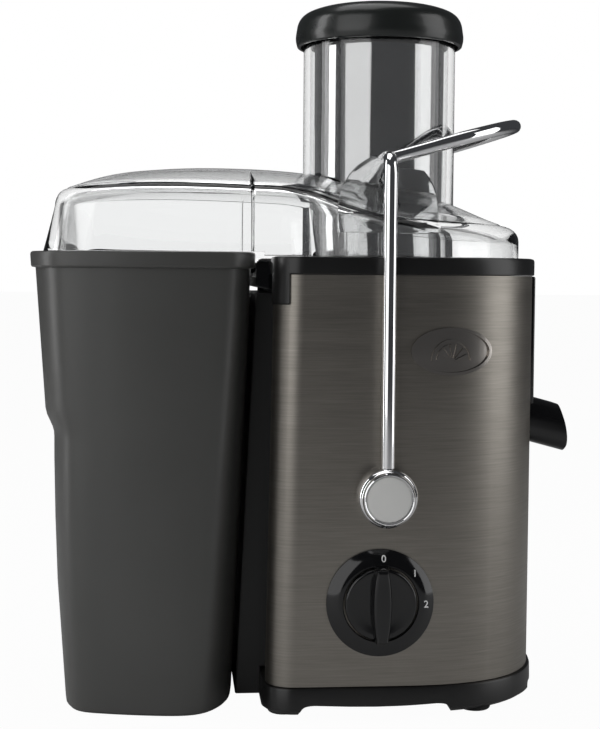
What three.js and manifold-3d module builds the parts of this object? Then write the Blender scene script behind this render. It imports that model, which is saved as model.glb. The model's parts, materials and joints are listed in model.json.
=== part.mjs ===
// A centrifugal juicer: motor housing, juice bowl, spinning basket, clear lid with chute, pulp bin and arm.
// Millimetres, +Z up, the front faces -Y. Sizes are worked out about the chute's axis (X = 0, Y = 0) with
// Z = 0 on the table, and the whole group is moved so that its origin is the middle of its footprint.
import * as THREE from "three";
import { mergeVertices } from "three/addons/utils/BufferGeometryUtils.js";
import Module from "manifold-3d";

const wasm = await Module();
wasm.setup();

// Driving dimensions.
const GAP = 0.3;
const ORIGIN_SHIFT = 37.3;
const FAR = 400;

const BODY_HALF_WIDTH = 75;
const BODY_HALF_DEPTH = 70.8;
const BODY_ROUNDNESS = 2.6;
const BODY_LEFT_BOTTOM = 59;
const BODY_LEFT_NARROWING = 0.017;
const BODY_CORNER = 13;
const STEEL = 0.8;
const SHELL_INSET = STEEL + 0.4;
const WALL = 2.5;

const APRON_BOTTOM = 7;
const LEG_BOTTOM = 2.2;
const BASE_TOP = 15;
const PANEL_TOP = 205;
const RIM_TOP = 213;
const DECK_BOTTOM = 112;
const DECK_TOP = 115;
// A hollow seat on the left that follows the slant of the bin's wall, as X, Z outlines.
const SEAT = {
  halfWidth: 36, wall: 2.5,
  outside: [[-56.5, 16], [-61.2, 16], [-61.2, 3], [-72, 3], [-63.4, 190], [-53.5, 190]],
  hollow: [[-59.5, 20], [-62.5, 20], [-62.5, -5], [-69.6, -5], [-61, 187.5], [-57, 187.5]],
};
const MOTOR_POST = 24;

const LEG_LEFT = -44;
const LEG_RIGHT = 27;
const LEG_DEPTH = 38;
const FEET = { left: -50, right: 41, y: 55, radius: 7.5 };
const BASE_SCREWS = { left: -30, right: 20, y: 59 };

const BOWL_RADIUS = 65.8;
const BOWL_BOTTOM = 118.3;
const BOWL_TUBE = 13;
const BOWL_LEFT = -51.4;
const SPOUT = { width: 30, height: 22, wall: 2.2, slope: 15, z: 132, tip: 95 };
const SLOT_PLATE = { halfWidth: 15.5, bottom: 141, top: 204.5, face: 77.5 };
const LIP = { halfWidth: 45, left: -63.5, bottom: 198 };

const CHUTE_RADIUS = 37.5;
const CHUTE_BORE = 34.3;
const CHUTE_BOTTOM = 160;
const CHUTE_TOP = 319;
const LID_WALL = 2.5;
const LID_BOTTOM = RIM_TOP + GAP;
const LID_OVER_BIN = 215.1;
const LID_RADIUS = 70;
const FIN = { y: 64, thickness: 3 };

const PUSHER_RADIUS = 32;
const PUSHER_BOTTOM = 165;
const CAP_RADIUS = 41.7;
const CAP_BOTTOM = 317;
const CAP_TOP = 337;
const CAP_PLATE = 321;
const BOWL_TUBE_TOP = 136;
const GLAND = { x: 30, z: 30 };

const BIN_RIM_BOTTOM = 207.3;
const BIN_RIM_TOP = 214.8;
const BIN_WALL = 2;
const BIN_BOTTOM = 0.6;

const PIVOT = { x: -5, z: 104 };
const ROD_RADIUS = 3.2;
const ARM_Y = 78;
const ARM_TOP = 258;
const ARM_RUN_Y = 50;
const ARM_RISE = 16;
const ARM_BEND = 9.5;
const LOOP_START = 25.4;
const HUB_RADIUS = 13.75;
const HUB_FRONT = 85.5;

const KNOB = { x: -7, z: 54.4, radius: 16.5, bezel: 24.85 };
const PANEL_FACE = BODY_HALF_DEPTH + GAP;

const CAM = { radius: 11, drop: 3, swing: 95, y: 62 };

// Materials.
const material = (color, roughness, metalness = 0) =>
  new THREE.MeshStandardMaterial({ color, roughness, metalness });
const brushedSteel = material(0x9a9490, 0.35, 1);
const chrome = material(0xd8d8d8, 0.08, 1);
const satinSteel = material(0xa9a9a6, 0.4, 1);
const blackPlastic = material(0x121212, 0.45);
const glossBlack = material(0x0a0a0a, 0.1);
const binPlastic = material(0x3a3938, 0.4);
const shellPlastic = material(0x2a2a2a, 0.55);
const rubber = material(0x1a1a1a, 0.9);
const copper = material(0xb06a3a, 0.35, 1);
const carbon = material(0x2b2b2e, 0.8);
const nylon = material(0xd9d6cc, 0.5);
const clear = new THREE.MeshStandardMaterial({
  color: 0xe8eef0,
  roughness: 0.05,
  transparent: true,
  opacity: 0.35,
});

const root = new THREE.Group();
root.position.x = ORIGIN_SHIFT;

// A closed geometry as a solid, turned right side out.
function solid(geometry) {
  const bare = geometry.clone();
  bare.deleteAttribute("normal");
  bare.deleteAttribute("uv");
  const merged = mergeVertices(bare, 1e-4);
  const triVerts = new Uint32Array(merged.index.array);
  const make = () =>
    new wasm.Manifold(
      new wasm.Mesh({
        numProp: 3,
        vertProperties: merged.attributes.position.array,
        triVerts,
      }),
    );
  const made = make();
  if (made.volume() > 0) return made;
  triVerts.reverse();
  return make();
}

// A solid as a named mesh of the group.
function piece(name, made, finish) {
  const { vertProperties, triVerts } = made.getMesh();
  const geometry = new THREE.BufferGeometry();
  geometry.setAttribute("position", new THREE.BufferAttribute(vertProperties, 3));
  geometry.setIndex(new THREE.BufferAttribute(triVerts, 1));
  geometry.computeVertexNormals();
  const mesh = new THREE.Mesh(geometry, finish);
  mesh.name = name;
  root.add(mesh);
}

const join = (...solids) => solids.reduce((a, b) => a.add(b));

// A solid turned about Z from [radius, height] points; it closes on itself, or starts and ends on the axis.
function turned(profile, segments = 24) {
  const points = profile.map(([r, z]) => new THREE.Vector2(r, z));
  return solid(new THREE.LatheGeometry(points, segments).rotateX(Math.PI / 2));
}

// The same, turned about an axis along Y: heights run towards the front from the given point.
function turnedToFront(profile, x, z, segments = 24) {
  const points = profile.map(([r, h]) => new THREE.Vector2(r, h));
  return solid(new THREE.LatheGeometry(points, segments).rotateX(Math.PI).translate(x, 0, z));
}

const mirrorFrontToBack = (made) => made.mirror([0, 1, 0]);

function ring(inner, outer, low, high, segments = 24) {
  return turned([[inner, low], [outer, low], [outer, high], [inner, high], [inner, low]], segments);
}

function disc(radius, low, high, segments = 24) {
  return turned([[0, low], [radius, low], [radius, high], [0, high]], segments);
}

function box(x0, x1, y0, y1, z0, z1) {
  const geometry = new THREE.BoxGeometry(x1 - x0, y1 - y0, z1 - z0);
  return solid(geometry.translate((x0 + x1) / 2, (y0 + y1) / 2, (z0 + z1) / 2));
}

const at = (made, x, y, z = 0) => made.translate([x, y, z]);

// An outline drawn in X and Z, given a thickness along Y.
function slab(outline, y0, y1) {
  const drawn = outline instanceof THREE.Shape;
  const shape = drawn ? outline : new THREE.Shape(outline.map(([x, z]) => new THREE.Vector2(x, z)));
  const options = { depth: y1 - y0, bevelEnabled: false, curveSegments: 8 };
  const geometry = new THREE.ExtrudeGeometry(shape, options);
  return solid(geometry.rotateX(Math.PI / 2).translate(0, y1, 0));
}

// A solid through rings of equally many points, closed by its first and last ring.
function loft(rings) {
  const count = rings[0].length;
  const positions = rings.flat().flatMap((p) => [p.x, p.y, p.z]);
  const index = [];
  for (let k = 0; k + 1 < rings.length; k++) {
    for (let i = 0; i < count; i++) {
      const a = k * count + i;
      const b = k * count + ((i + 1) % count);
      index.push(a, b, b + count, a, b + count, a + count);
    }
  }
  const flat = (r) => r.map((p) => new THREE.Vector2(p.x, p.y));
  const top = (rings.length - 1) * count;
  for (const [a, b, c] of THREE.ShapeUtils.triangulateShape(flat(rings[0]), [])) index.push(c, b, a);
  for (const [a, b, c] of THREE.ShapeUtils.triangulateShape(flat(rings.at(-1)), [])) {
    index.push(top + a, top + b, top + c);
  }
  const geometry = new THREE.BufferGeometry();
  geometry.setAttribute("position", new THREE.Float32BufferAttribute(positions, 3));
  geometry.setIndex(index);
  return solid(geometry);
}

// The housing's outline in plan at a height, moved outwards by an offset.
function bodyOutline(z, offset) {
  const points = [];
  const power = 2 / BODY_ROUNDNESS;
  const a = BODY_HALF_WIDTH + offset;
  const b = BODY_HALF_DEPTH + offset;
  const left = -(BODY_LEFT_BOTTOM - z * BODY_LEFT_NARROWING + offset);
  const corner = BODY_CORNER + offset;
  const sideSteps = 11;
  for (let i = -sideSteps; i <= sideSteps; i++) {
    const angle = (i / sideSteps) * (Math.PI / 2);
    const c = Math.max(Math.cos(angle), 0) ** power;
    const s = Math.sign(angle) * Math.abs(Math.sin(angle)) ** power;
    points.push(new THREE.Vector3(a * c, b * s, z));
  }
  const cornerSteps = 4;
  for (const side of [1, -1]) {
    for (let i = 0; i <= cornerSteps; i++) {
      const step = side > 0 ? i : cornerSteps - i;
      const angle = (step / cornerSteps) * (Math.PI / 2);
      const x = left + corner - corner * Math.sin(angle);
      const y = side * (b - corner + corner * Math.cos(angle));
      points.push(new THREE.Vector3(x, y, z));
    }
  }
  return points;
}

// A prism of the housing's outline.
const bodyPrism = (low, high, offset) => loft([bodyOutline(low, offset), bodyOutline(high, offset)]);

const corners = (left, right, y) => [
  ["front_left", left, -y],
  ["front_right", right, -y],
  ["rear_left", left, y],
  ["rear_right", right, y],
];

function makeBase() {
  const proud = 1.5;
  const outer = loft([
    bodyOutline(LEG_BOTTOM, 0),
    bodyOutline(LEG_BOTTOM + 2, proud + 0.5),
    bodyOutline(BASE_TOP, proud),
  ]);
  const floorTop = APRON_BOTTOM + WALL;
  let base = outer.subtract(bodyPrism(floorTop, FAR, -WALL));
  base = base.subtract(box(LEG_LEFT, LEG_RIGHT, -FAR, FAR, -1, APRON_BOTTOM));
  base = base.subtract(box(-FAR, FAR, -LEG_DEPTH, LEG_DEPTH, -1, APRON_BOTTOM));
  const footTop = 4.5;
  for (const [where, x, y] of corners(FEET.left, FEET.right, FEET.y)) {
    base = base.subtract(at(disc(FEET.radius + GAP, 0, footTop, 16), x, y));
    const foot = turned([
      [0, 0], [FEET.radius - 1, 0], [FEET.radius, 1], [FEET.radius, footTop - GAP], [0, footTop - GAP],
    ], 16);
    piece(`rubber_foot_${where}`, at(foot, x, y), rubber);
  }
  const head = { radius: 3.6, low: 4.4, high: APRON_BOTTOM - GAP };
  for (const [where, x, y] of corners(BASE_SCREWS.left, BASE_SCREWS.right, BASE_SCREWS.y)) {
    base = base.subtract(at(disc(2.2, 0, FAR, 10), x, y));
    const screw = turned([
      [0, head.low], [head.radius, head.low], [head.radius, head.high], [1.8, head.high], [1.8, 26], [0, 27],
    ], 10);
    piece(`base_screw_${where}`, at(screw, x, y), satinSteel);
  }
  const vents = 5;
  for (let i = 0; i < vents; i++) {
    const y = (i - (vents - 1) / 2) * 8;
    base = base.subtract(box(-18, 18, y - 1.5, y + 1.5, 0, floorTop + 1));
  }
  piece("base_cover", base, blackPlastic);
}

const spoutHole = (margin) => {
  const half = SPOUT.width / 2 + margin;
  return box(50, FAR, -half, half, 117 - margin, PANEL_TOP + 1);
};

const hubHoles = (radius) => {
  const hole = turnedToFront([[0, -FAR], [radius, -FAR], [radius, FAR], [0, FAR]], PIVOT.x, PIVOT.z, 24);
  return hole;
};

const knobHole = (radius) => turnedToFront([[0, 40], [radius, 40], [radius, FAR], [0, FAR]], KNOB.x, KNOB.z, 24);

function makeHousing() {
  const low = BASE_TOP + GAP;
  const high = PANEL_TOP - GAP;
  const outside = bodyPrism(low, high, -SHELL_INSET);
  const inside = bodyPrism(0, FAR, -SHELL_INSET - WALL);
  let filling = bodyPrism(DECK_BOTTOM, DECK_TOP, -SHELL_INSET - 1);
  for (const [, x, y] of corners(BASE_SCREWS.left, BASE_SCREWS.right, BASE_SCREWS.y)) {
    const rib = y < 0 ? box(x - 2.5, x + 2.5, -FAR, y, low, 30) : box(x - 2.5, x + 2.5, y, FAR, low, 30);
    filling = join(filling, at(disc(4.5, low, 30, 12), x, y), rib);
  }
  let shell = outside.subtract(inside).add(filling.intersect(outside));
  for (const [, x, y] of corners(BASE_SCREWS.left, BASE_SCREWS.right, BASE_SCREWS.y)) {
    shell = shell.subtract(at(disc(2.2, 0, 29, 10), x, y));
  }
  for (const [, x, y] of corners(-MOTOR_POST, MOTOR_POST, MOTOR_POST)) {
    shell = shell.subtract(at(disc(2.2, 100, 120, 10), x, y));
  }
  shell = shell.subtract(disc(12.2, 100, 120));
  shell = shell.subtract(spoutHole(0.8));
  shell = shell.subtract(box(-FAR, -40, -LIP.halfWidth - 1, LIP.halfWidth + 1, LIP.bottom - 1, FAR));
  shell = shell.subtract(hubHoles(4.6)).subtract(knobHole(5.5));
  const seat = slab(SEAT.outside, -SEAT.halfWidth, SEAT.halfWidth);
  const hollow = slab(SEAT.hollow, SEAT.wall - SEAT.halfWidth, SEAT.halfWidth - SEAT.wall);
  shell = shell.add(seat.subtract(hollow));
  const leftTab = box(-FAR, -49, -FAR, -40, 190, FAR).add(box(-FAR, -49, 40, FAR, 190, FAR));
  piece("housing_shell", shell.subtract(leftTab), shellPlastic);

  let panel = bodyPrism(low, high, 0).subtract(bodyPrism(0, FAR, -STEEL));
  panel = panel.subtract(box(-FAR, -50, -56, 56, 0, FAR));
  panel = panel.subtract(leftTab).subtract(spoutHole(2.5));
  panel = panel.subtract(hubHoles(5)).subtract(knobHole(6));
  piece("steel_panel", panel, brushedSteel);

  const well = disc(BOWL_RADIUS + 0.5, 0, FAR, 44).intersect(box(BOWL_LEFT - 0.5, FAR, -FAR, FAR, 0, FAR));
  const band = bodyPrism(PANEL_TOP, RIM_TOP, 1).subtract(well);
  const tabZone = join(box(-FAR, -49.5, -FAR, -57, 191, FAR), box(-FAR, -49.5, 57, FAR, 191, FAR));
  const tabs = bodyPrism(191, RIM_TOP, 1).subtract(bodyPrism(0, FAR, -6)).intersect(tabZone);
  let rim = band.add(tabs);
  rim = rim.subtract(box(-FAR, -40, -LIP.halfWidth - 1, LIP.halfWidth + 1, 0, FAR));
  piece("top_rim", rim, blackPlastic);

  const glandProfile = [[3.8, -84], [6, -84], [7.5, -76], [7.5, -71.4], [3.8, -71.4], [3.8, -84]];
  piece("cord_gland", turnedToFront(glandProfile, GLAND.x, GLAND.z, 24), rubber);
}

function makeBowl() {
  const floorTop = BOWL_BOTTOM + 3;
  const inner = BOWL_RADIUS - WALL;
  const form = (radius, bottom, top, left) => {
    const cup = turned([[0, bottom], [radius - 5, bottom], [radius, bottom + 5], [radius, top], [0, top]], 44);
    return cup.intersect(box(left, FAR, -FAR, FAR, 0, FAR));
  };
  const hollow = form(inner, floorTop, RIM_TOP + 20, BOWL_LEFT + WALL);
  let bowl = form(BOWL_RADIUS, BOWL_BOTTOM, RIM_TOP, BOWL_LEFT);
  const tube = (shrink, from, to) => {
    const w = SPOUT.width / 2 - shrink;
    const h = SPOUT.height / 2 - shrink;
    const corner = 7 - shrink;
    const shape = new THREE.Shape();
    shape.absarc(w - corner, h - corner, corner, 0, Math.PI / 2);
    shape.absarc(-w + corner, h - corner, corner, Math.PI / 2, Math.PI);
    shape.absarc(-w + corner, -h + corner, corner, Math.PI, Math.PI * 1.5);
    shape.absarc(w - corner, -h + corner, corner, Math.PI * 1.5, Math.PI * 2);
    const options = { depth: to - from, bevelEnabled: false, curveSegments: 4 };
    const geometry = new THREE.ExtrudeGeometry(shape, options);
    geometry.translate(0, 0, from).rotateY(Math.PI / 2).rotateX(Math.PI / 2);
    geometry.rotateY(THREE.MathUtils.degToRad(SPOUT.slope)).translate(62, 0, SPOUT.z + 5);
    return solid(geometry);
  };
  const { halfWidth, face } = SLOT_PLATE;
  const plate = box(60, face, -halfWidth, halfWidth, SLOT_PLATE.bottom, SLOT_PLATE.top);
  const lipOutline = [[-50, 211], [LIP.left, 203], [LIP.left, LIP.bottom], [-57, LIP.bottom], [-50, 203]];
  const lip = slab(lipOutline, -LIP.halfWidth, LIP.halfWidth);
  bowl = join(bowl, tube(0, 0, 34), plate, lip).subtract(hollow).subtract(tube(SPOUT.wall, -6, 60));
  bowl = bowl.add(disc(BOWL_TUBE + WALL, BOWL_BOTTOM, BOWL_TUBE_TOP, 32)).subtract(disc(BOWL_TUBE, 0, FAR, 32));
  bowl = bowl.subtract(box(-FAR, -30, -LIP.halfWidth, LIP.halfWidth, 209, FAR));
  const mouth = [[91, 160], [91, 140], [SPOUT.tip, 128], [SPOUT.tip, 100], [FAR, 100], [FAR, 160]];
  piece("juice_bowl", bowl.subtract(slab(mouth, -FAR, FAR)), glossBlack);
}

// Straight-line interpolation through [x, value] pairs.
function along(table, x) {
  if (x <= table[0][0]) return table[0][1];
  for (let i = 1; i < table.length; i++) {
    const [x0, v0] = table[i - 1];
    const [x1, v1] = table[i];
    if (x <= x1) return v0 + ((v1 - v0) * (x - x0)) / (x1 - x0);
  }
  return table.at(-1)[1];
}

const LID_CROWN = [
  [-166, 243], [-150, 250], [-130, 253.5], [-87, 256.5], [-38, 254.5], [37, 244], [62, 235.5], [70, 231],
];
const LID_RIDGE = [
  [-166, 240.5], [-112, 247], [-45, 245], [-32, 241], [-22, 236.5], [-8, 232.5], [10, 230.5], [70, 228.5],
];
const LID_SPINE = [-115, 0];

// Half of the lid's outline in plan, from its right end round to its left end.
function lidHalf(halfWidth, left, corner) {
  const points = [];
  const join = Math.PI - Math.asin(halfWidth / LID_RADIUS);
  const steps = 12;
  for (let i = 0; i <= steps; i++) {
    const angle = (i / steps) * join;
    points.push([LID_RADIUS * Math.cos(angle), LID_RADIUS * Math.sin(angle)]);
  }
  const endHalf = halfWidth - 5;
  points.push([-80, halfWidth - 1.2], [-105, halfWidth - 2.6]);
  for (let i = 0; i <= 4; i++) {
    const angle = (i / 4) * (Math.PI / 2);
    points.push([left + corner - corner * Math.sin(angle), endHalf - corner + corner * Math.cos(angle)]);
  }
  points.push([left - 1, (endHalf - corner) / 2], [left - 1.5, 0]);
  return points;
}

function lidOutline(halfWidth, left, corner, shrink) {
  const half = lidHalf(halfWidth, left, corner);
  const back = half.slice(1, -1).reverse().map(([x, y]) => [x, -y]);
  return [...half, ...back].map(([x, y]) => {
    const spine = THREE.MathUtils.clamp(x, LID_SPINE[0], LID_SPINE[1]);
    const away = new THREE.Vector2(x - spine, y);
    return away.setLength(away.length() - shrink).add(new THREE.Vector2(spine, 0));
  });
}

// The lid's outer form, or its hollow when shrunk by the wall.
function lidForm(shrink, bottom) {
  const foot = lidOutline(57, -163.5, 20, shrink);
  const edge = lidOutline(54.5, -156.5, 20, shrink);
  const level = (outline, inward, height) =>
    outline.map((p) => {
      const spine = THREE.MathUtils.clamp(p.x, LID_SPINE[0], LID_SPINE[1]);
      const x = spine + (p.x - spine) * inward;
      return new THREE.Vector3(x, p.y * inward, height(x) - shrink);
    });
  const ridge = (x) => along(LID_RIDGE, x);
  const mix = (share) => (x) => ridge(x) + (along(LID_CROWN, x) - ridge(x)) * share;
  return loft([
    level(foot, 1, () => bottom + shrink),
    level(edge, 1, (x) => ridge(x) - 6),
    level(edge, 0.975, (x) => ridge(x) - 2),
    level(edge, 0.92, mix(0.05)),
    level(edge, 0.75, mix(0.4)),
    level(edge, 0.5, mix(0.75)),
    level(edge, 0.2, mix(0.97)),
  ]);
}

function makeLid() {
  let lid = lidForm(0, LID_BOTTOM).subtract(lidForm(LID_WALL, LID_BOTTOM - 30));
  lid = lid.add(ring(CHUTE_BORE, CHUTE_RADIUS, CHUTE_BOTTOM, CHUTE_TOP, 36));
  lid = lid.subtract(box(-FAR, -60, -FAR, FAR, 0, LID_OVER_BIN));
  const finShape = new THREE.Shape();
  finShape.moveTo(-28, 226);
  finShape.lineTo(-27, 236);
  finShape.quadraticCurveTo(-20, ARM_TOP - 1, -12, ARM_TOP + 2);
  finShape.lineTo(-9.4, ARM_TOP + 1.4);
  finShape.absarc(PIVOT.x, ARM_TOP, ROD_RADIUS + 0.5, Math.PI, Math.PI * 1.5);
  finShape.lineTo(-1.5, ARM_TOP - 4.4);
  finShape.quadraticCurveTo(11, ARM_TOP - 11, 19, 226);
  for (const y of [-FIN.y, FIN.y]) {
    lid = lid.add(slab(finShape, y - FIN.thickness / 2, y + FIN.thickness / 2));
  }
  piece("lid", lid.subtract(disc(CHUTE_BORE, 100, FAR, 36)), clear);

  const inner = PUSHER_RADIUS - WALL;
  const tube = turned([
    [0, PUSHER_BOTTOM], [PUSHER_RADIUS - 2, PUSHER_BOTTOM], [PUSHER_RADIUS, PUSHER_BOTTOM + 2],
    [PUSHER_RADIUS, CAP_PLATE - 0.5], [inner, CAP_PLATE - 0.5], [inner, PUSHER_BOTTOM + WALL],
    [0, PUSHER_BOTTOM + WALL],
  ], 32);
  piece("pusher_tube", tube, glossBlack);
  const skirt = 39;
  const cap = turned([
    [0, CAP_PLATE], [skirt, CAP_PLATE], [skirt, CAP_BOTTOM], [CAP_RADIUS - 1, CAP_BOTTOM],
    [CAP_RADIUS, CAP_BOTTOM + 1.5], [CAP_RADIUS, 322], [CAP_RADIUS - 1, 326.5], [CAP_RADIUS - 3.5, 330], [CAP_RADIUS - 8, 333.6],
    [CAP_RADIUS - 14, 335.4], [20, 336.5], [0, CAP_TOP],
  ], 36);
  piece("pusher_cap", cap.add(ring(inner - 3, inner - GAP, 312, CAP_PLATE + 1, 32)), blackPlastic);
}

const BIN_FOOT = [
  [-75, 38], [-81, 54], [-88, 62], [-97, 65], [-131, 60], [-146, 54], [-151.5, 42], [-152, 20],
];
const BIN_MOUTH = [
  [-65, 42], [-68, 56], [-75, 62.5], [-90, 64.5], [-132, 62.5], [-155, 56], [-165.5, 40], [-167, 20],
];

// The bin's outline at a share of its height, grown by an offset, with a smooth run round the corners.
function binOutline(z, offset, leftIn = 0) {
  const share = z / BIN_RIM_TOP;
  const half = BIN_FOOT.map(([x, y], i) => {
    const [mouthX, mouthY] = BIN_MOUTH[i];
    return [x + (mouthX - x) * share, y + (mouthY - y) * share];
  });
  const whole = [...half, ...half.map(([x, y]) => [x, -y]).reverse()];
  const points = whole.map(([x, y]) => new THREE.Vector3(x, y, z));
  const curve = new THREE.CatmullRomCurve3(points, true, "centripetal");
  const middle = new THREE.Vector2(-114, 0);
  return curve.getPoints(36).slice(0, -1).map((p) => {
    const away = new THREE.Vector2(p.x, p.y).sub(middle);
    away.setLength(away.length() + offset);
    const x = away.x < 0 ? away.x + leftIn * Math.max(0, -away.x / 50) : away.x;
    return new THREE.Vector3(middle.x + x, away.y, z);
  });
}

function makeBin() {
  const gripTop = 140;
  const gripFoot = 131;
  const outer = loft([
    binOutline(BIN_BOTTOM, -1),
    binOutline(BIN_BOTTOM + 2, 0),
    binOutline(gripFoot - 40, 0),
    binOutline(gripFoot, 0, 3),
    binOutline(gripTop, 0),
    binOutline(BIN_RIM_BOTTOM, 0),
    binOutline(BIN_RIM_BOTTOM + 0.2, 2.2),
    binOutline(BIN_RIM_TOP, 2.2),
  ]);
  const hollow = loft([
    binOutline(BIN_BOTTOM + BIN_WALL, -BIN_WALL),
    binOutline(gripFoot - 40, -BIN_WALL),
    binOutline(gripFoot, -BIN_WALL, 3),
    binOutline(gripTop, -BIN_WALL),
    binOutline(BIN_RIM_TOP + 1, -BIN_WALL),
  ]);
  const notch = box(-90, 0, -LIP.halfWidth - 1.5, LIP.halfWidth + 1.5, LIP.bottom - 2, FAR);
  piece("pulp_bin", outer.subtract(hollow).subtract(notch), binPlastic);
}

// A polyline whose corners are rounded, as a curve.
function rounded(points, radius) {
  const path = new THREE.CurvePath();
  let from = points[0];
  for (let i = 1; i + 1 < points.length; i++) {
    const corner = points[i];
    const before = points[i - 1].clone().sub(corner).normalize();
    const after = points[i + 1].clone().sub(corner).normalize();
    const half = before.angleTo(after) / 2;
    const reach = radius / Math.tan(half);
    const start = corner.clone().addScaledVector(before, reach);
    const end = corner.clone().addScaledVector(after, reach);
    path.add(new THREE.LineCurve3(from, start));
    path.add(new THREE.QuadraticBezierCurve3(start, corner, end));
    from = end;
  }
  path.add(new THREE.LineCurve3(from, points.at(-1)));
  return path;
}

function armPoint(reach, y) {
  const rise = THREE.MathUtils.degToRad(ARM_RISE);
  return new THREE.Vector3(PIVOT.x + reach * Math.cos(rise), y, ARM_TOP + reach * Math.sin(rise));
}

class Loop extends THREE.Curve {
  getPoint(t, target = new THREE.Vector3()) {
    const angle = (t - 0.5) * Math.PI;
    return target.copy(armPoint(LOOP_START + ARM_RUN_Y * Math.cos(angle), ARM_RUN_Y * Math.sin(angle)));
  }
}

function makeArm() {
  const foot = PIVOT.z + HUB_RADIUS - 5;
  const leg = (side) => [
    new THREE.Vector3(PIVOT.x, side * ARM_Y, foot),
    new THREE.Vector3(PIVOT.x, side * ARM_Y, ARM_TOP),
    armPoint(0, side * ARM_RUN_Y),
    armPoint(LOOP_START, side * ARM_RUN_Y),
  ];
  const front = rounded(leg(-1), ARM_BEND);
  const rear = rounded(leg(1).reverse(), ARM_BEND);
  const path = new THREE.CurvePath();
  for (const curve of [...front.curves, new Loop(), ...rear.curves]) path.add(curve);
  const section = new THREE.Shape().absarc(0, 0, ROD_RADIUS, 0, Math.PI * 2);
  const rod = new THREE.ExtrudeGeometry(section, { steps: 108, extrudePath: path, curveSegments: 5 });
  piece("locking_arm", solid(rod), chrome);

  const face = PANEL_FACE + 0.2;
  const ringRadius = 11.5;
  const hub = turnedToFront([
    [0, face], [HUB_RADIUS, face], [HUB_RADIUS, 82.5], [HUB_RADIUS - 0.8, 84], [ringRadius, HUB_FRONT],
    [10.6, HUB_FRONT], [10.6, 83.4], [0, 83.4],
  ], PIVOT.x, PIVOT.z, 28);
  const bore = at(disc(ROD_RADIUS + GAP, foot - 0.5, foot + 20, 16), PIVOT.x, -ARM_Y);
  const pinHole = turnedToFront([[0, 0], [4.2, 0], [4.2, 80.4], [0, 80.4]], PIVOT.x, PIVOT.z, 16);
  const pins = { front: 56, rear: 60 };
  for (const [where, turn] of [["front", (m) => m], ["rear", mirrorFrontToBack]]) {
    piece(`pivot_hub_${where}`, turn(hub.subtract(bore).subtract(pinHole)), chrome);
    const insert = turnedToFront([[0, 83.7], [10.2, 83.7], [10.2, 84.3], [9.6, 84.7], [0, 84.7]], PIVOT.x, PIVOT.z, 24);
    piece(`pivot_disc_${where}`, turn(insert), satinSteel);
    const pin = turnedToFront([[0, pins[where]], [3.9, pins[where]], [3.9, 80.1], [0, 80.1]], PIVOT.x, PIVOT.z, 16);
    piece(`pivot_pin_${where}`, turn(pin), satinSteel);
  }
}

function makeInterlock() {
  const outline = [];
  const drop = CAM.drop / THREE.MathUtils.degToRad(CAM.swing);
  const spiralFrom = THREE.MathUtils.degToRad(-CAM.swing - 12);
  const spiralTo = THREE.MathUtils.degToRad(12);
  const steps = 24;
  for (let i = 0; i <= steps; i++) {
    const angle = spiralFrom + ((spiralTo - spiralFrom) * i) / steps;
    const radius = CAM.radius + drop * angle;
    outline.push([PIVOT.x - radius * Math.sin(angle), PIVOT.z - radius * Math.cos(angle)]);
  }
  const back = 8;
  for (let i = 1; i <= 10; i++) {
    const angle = spiralTo + ((Math.PI * 2 - (spiralTo - spiralFrom)) * i) / 11;
    outline.push([PIVOT.x - back * Math.sin(angle), PIVOT.z - back * Math.cos(angle)]);
  }
  const hole = turnedToFront([[0, 40], [4.2, 40], [4.2, 80], [0, 80]], PIVOT.x, PIVOT.z, 16);
  piece("interlock_cam", slab(outline, -CAM.y - 2.5, -CAM.y + 2.5).subtract(hole), nylon);
  const tip = PIVOT.z - CAM.radius - 0.6;
  const plunger = turned([[0, 82], [1.3, 82], [1.3, tip - 0.5], [0.6, tip], [0, tip]], 12);
  piece("switch_plunger", at(plunger, PIVOT.x, -CAM.y), nylon);
  const bodyTop = 88;
  const shell = box(PIVOT.x - 9, PIVOT.x + 9, -CAM.y - 4, -CAM.y + 4, 72, bodyTop);
  const well = at(disc(1.7, 81, 100, 12), PIVOT.x, -CAM.y);
  const lugs = box(PIVOT.x + 2, PIVOT.x + 4, -CAM.y - 2, -CAM.y + 2, 67, 73).add(
    box(PIVOT.x - 6, PIVOT.x - 4, -CAM.y - 2, -CAM.y + 2, 67, 73),
  );
  piece("interlock_switch", shell.subtract(well).add(lugs), blackPlastic);
}

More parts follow.
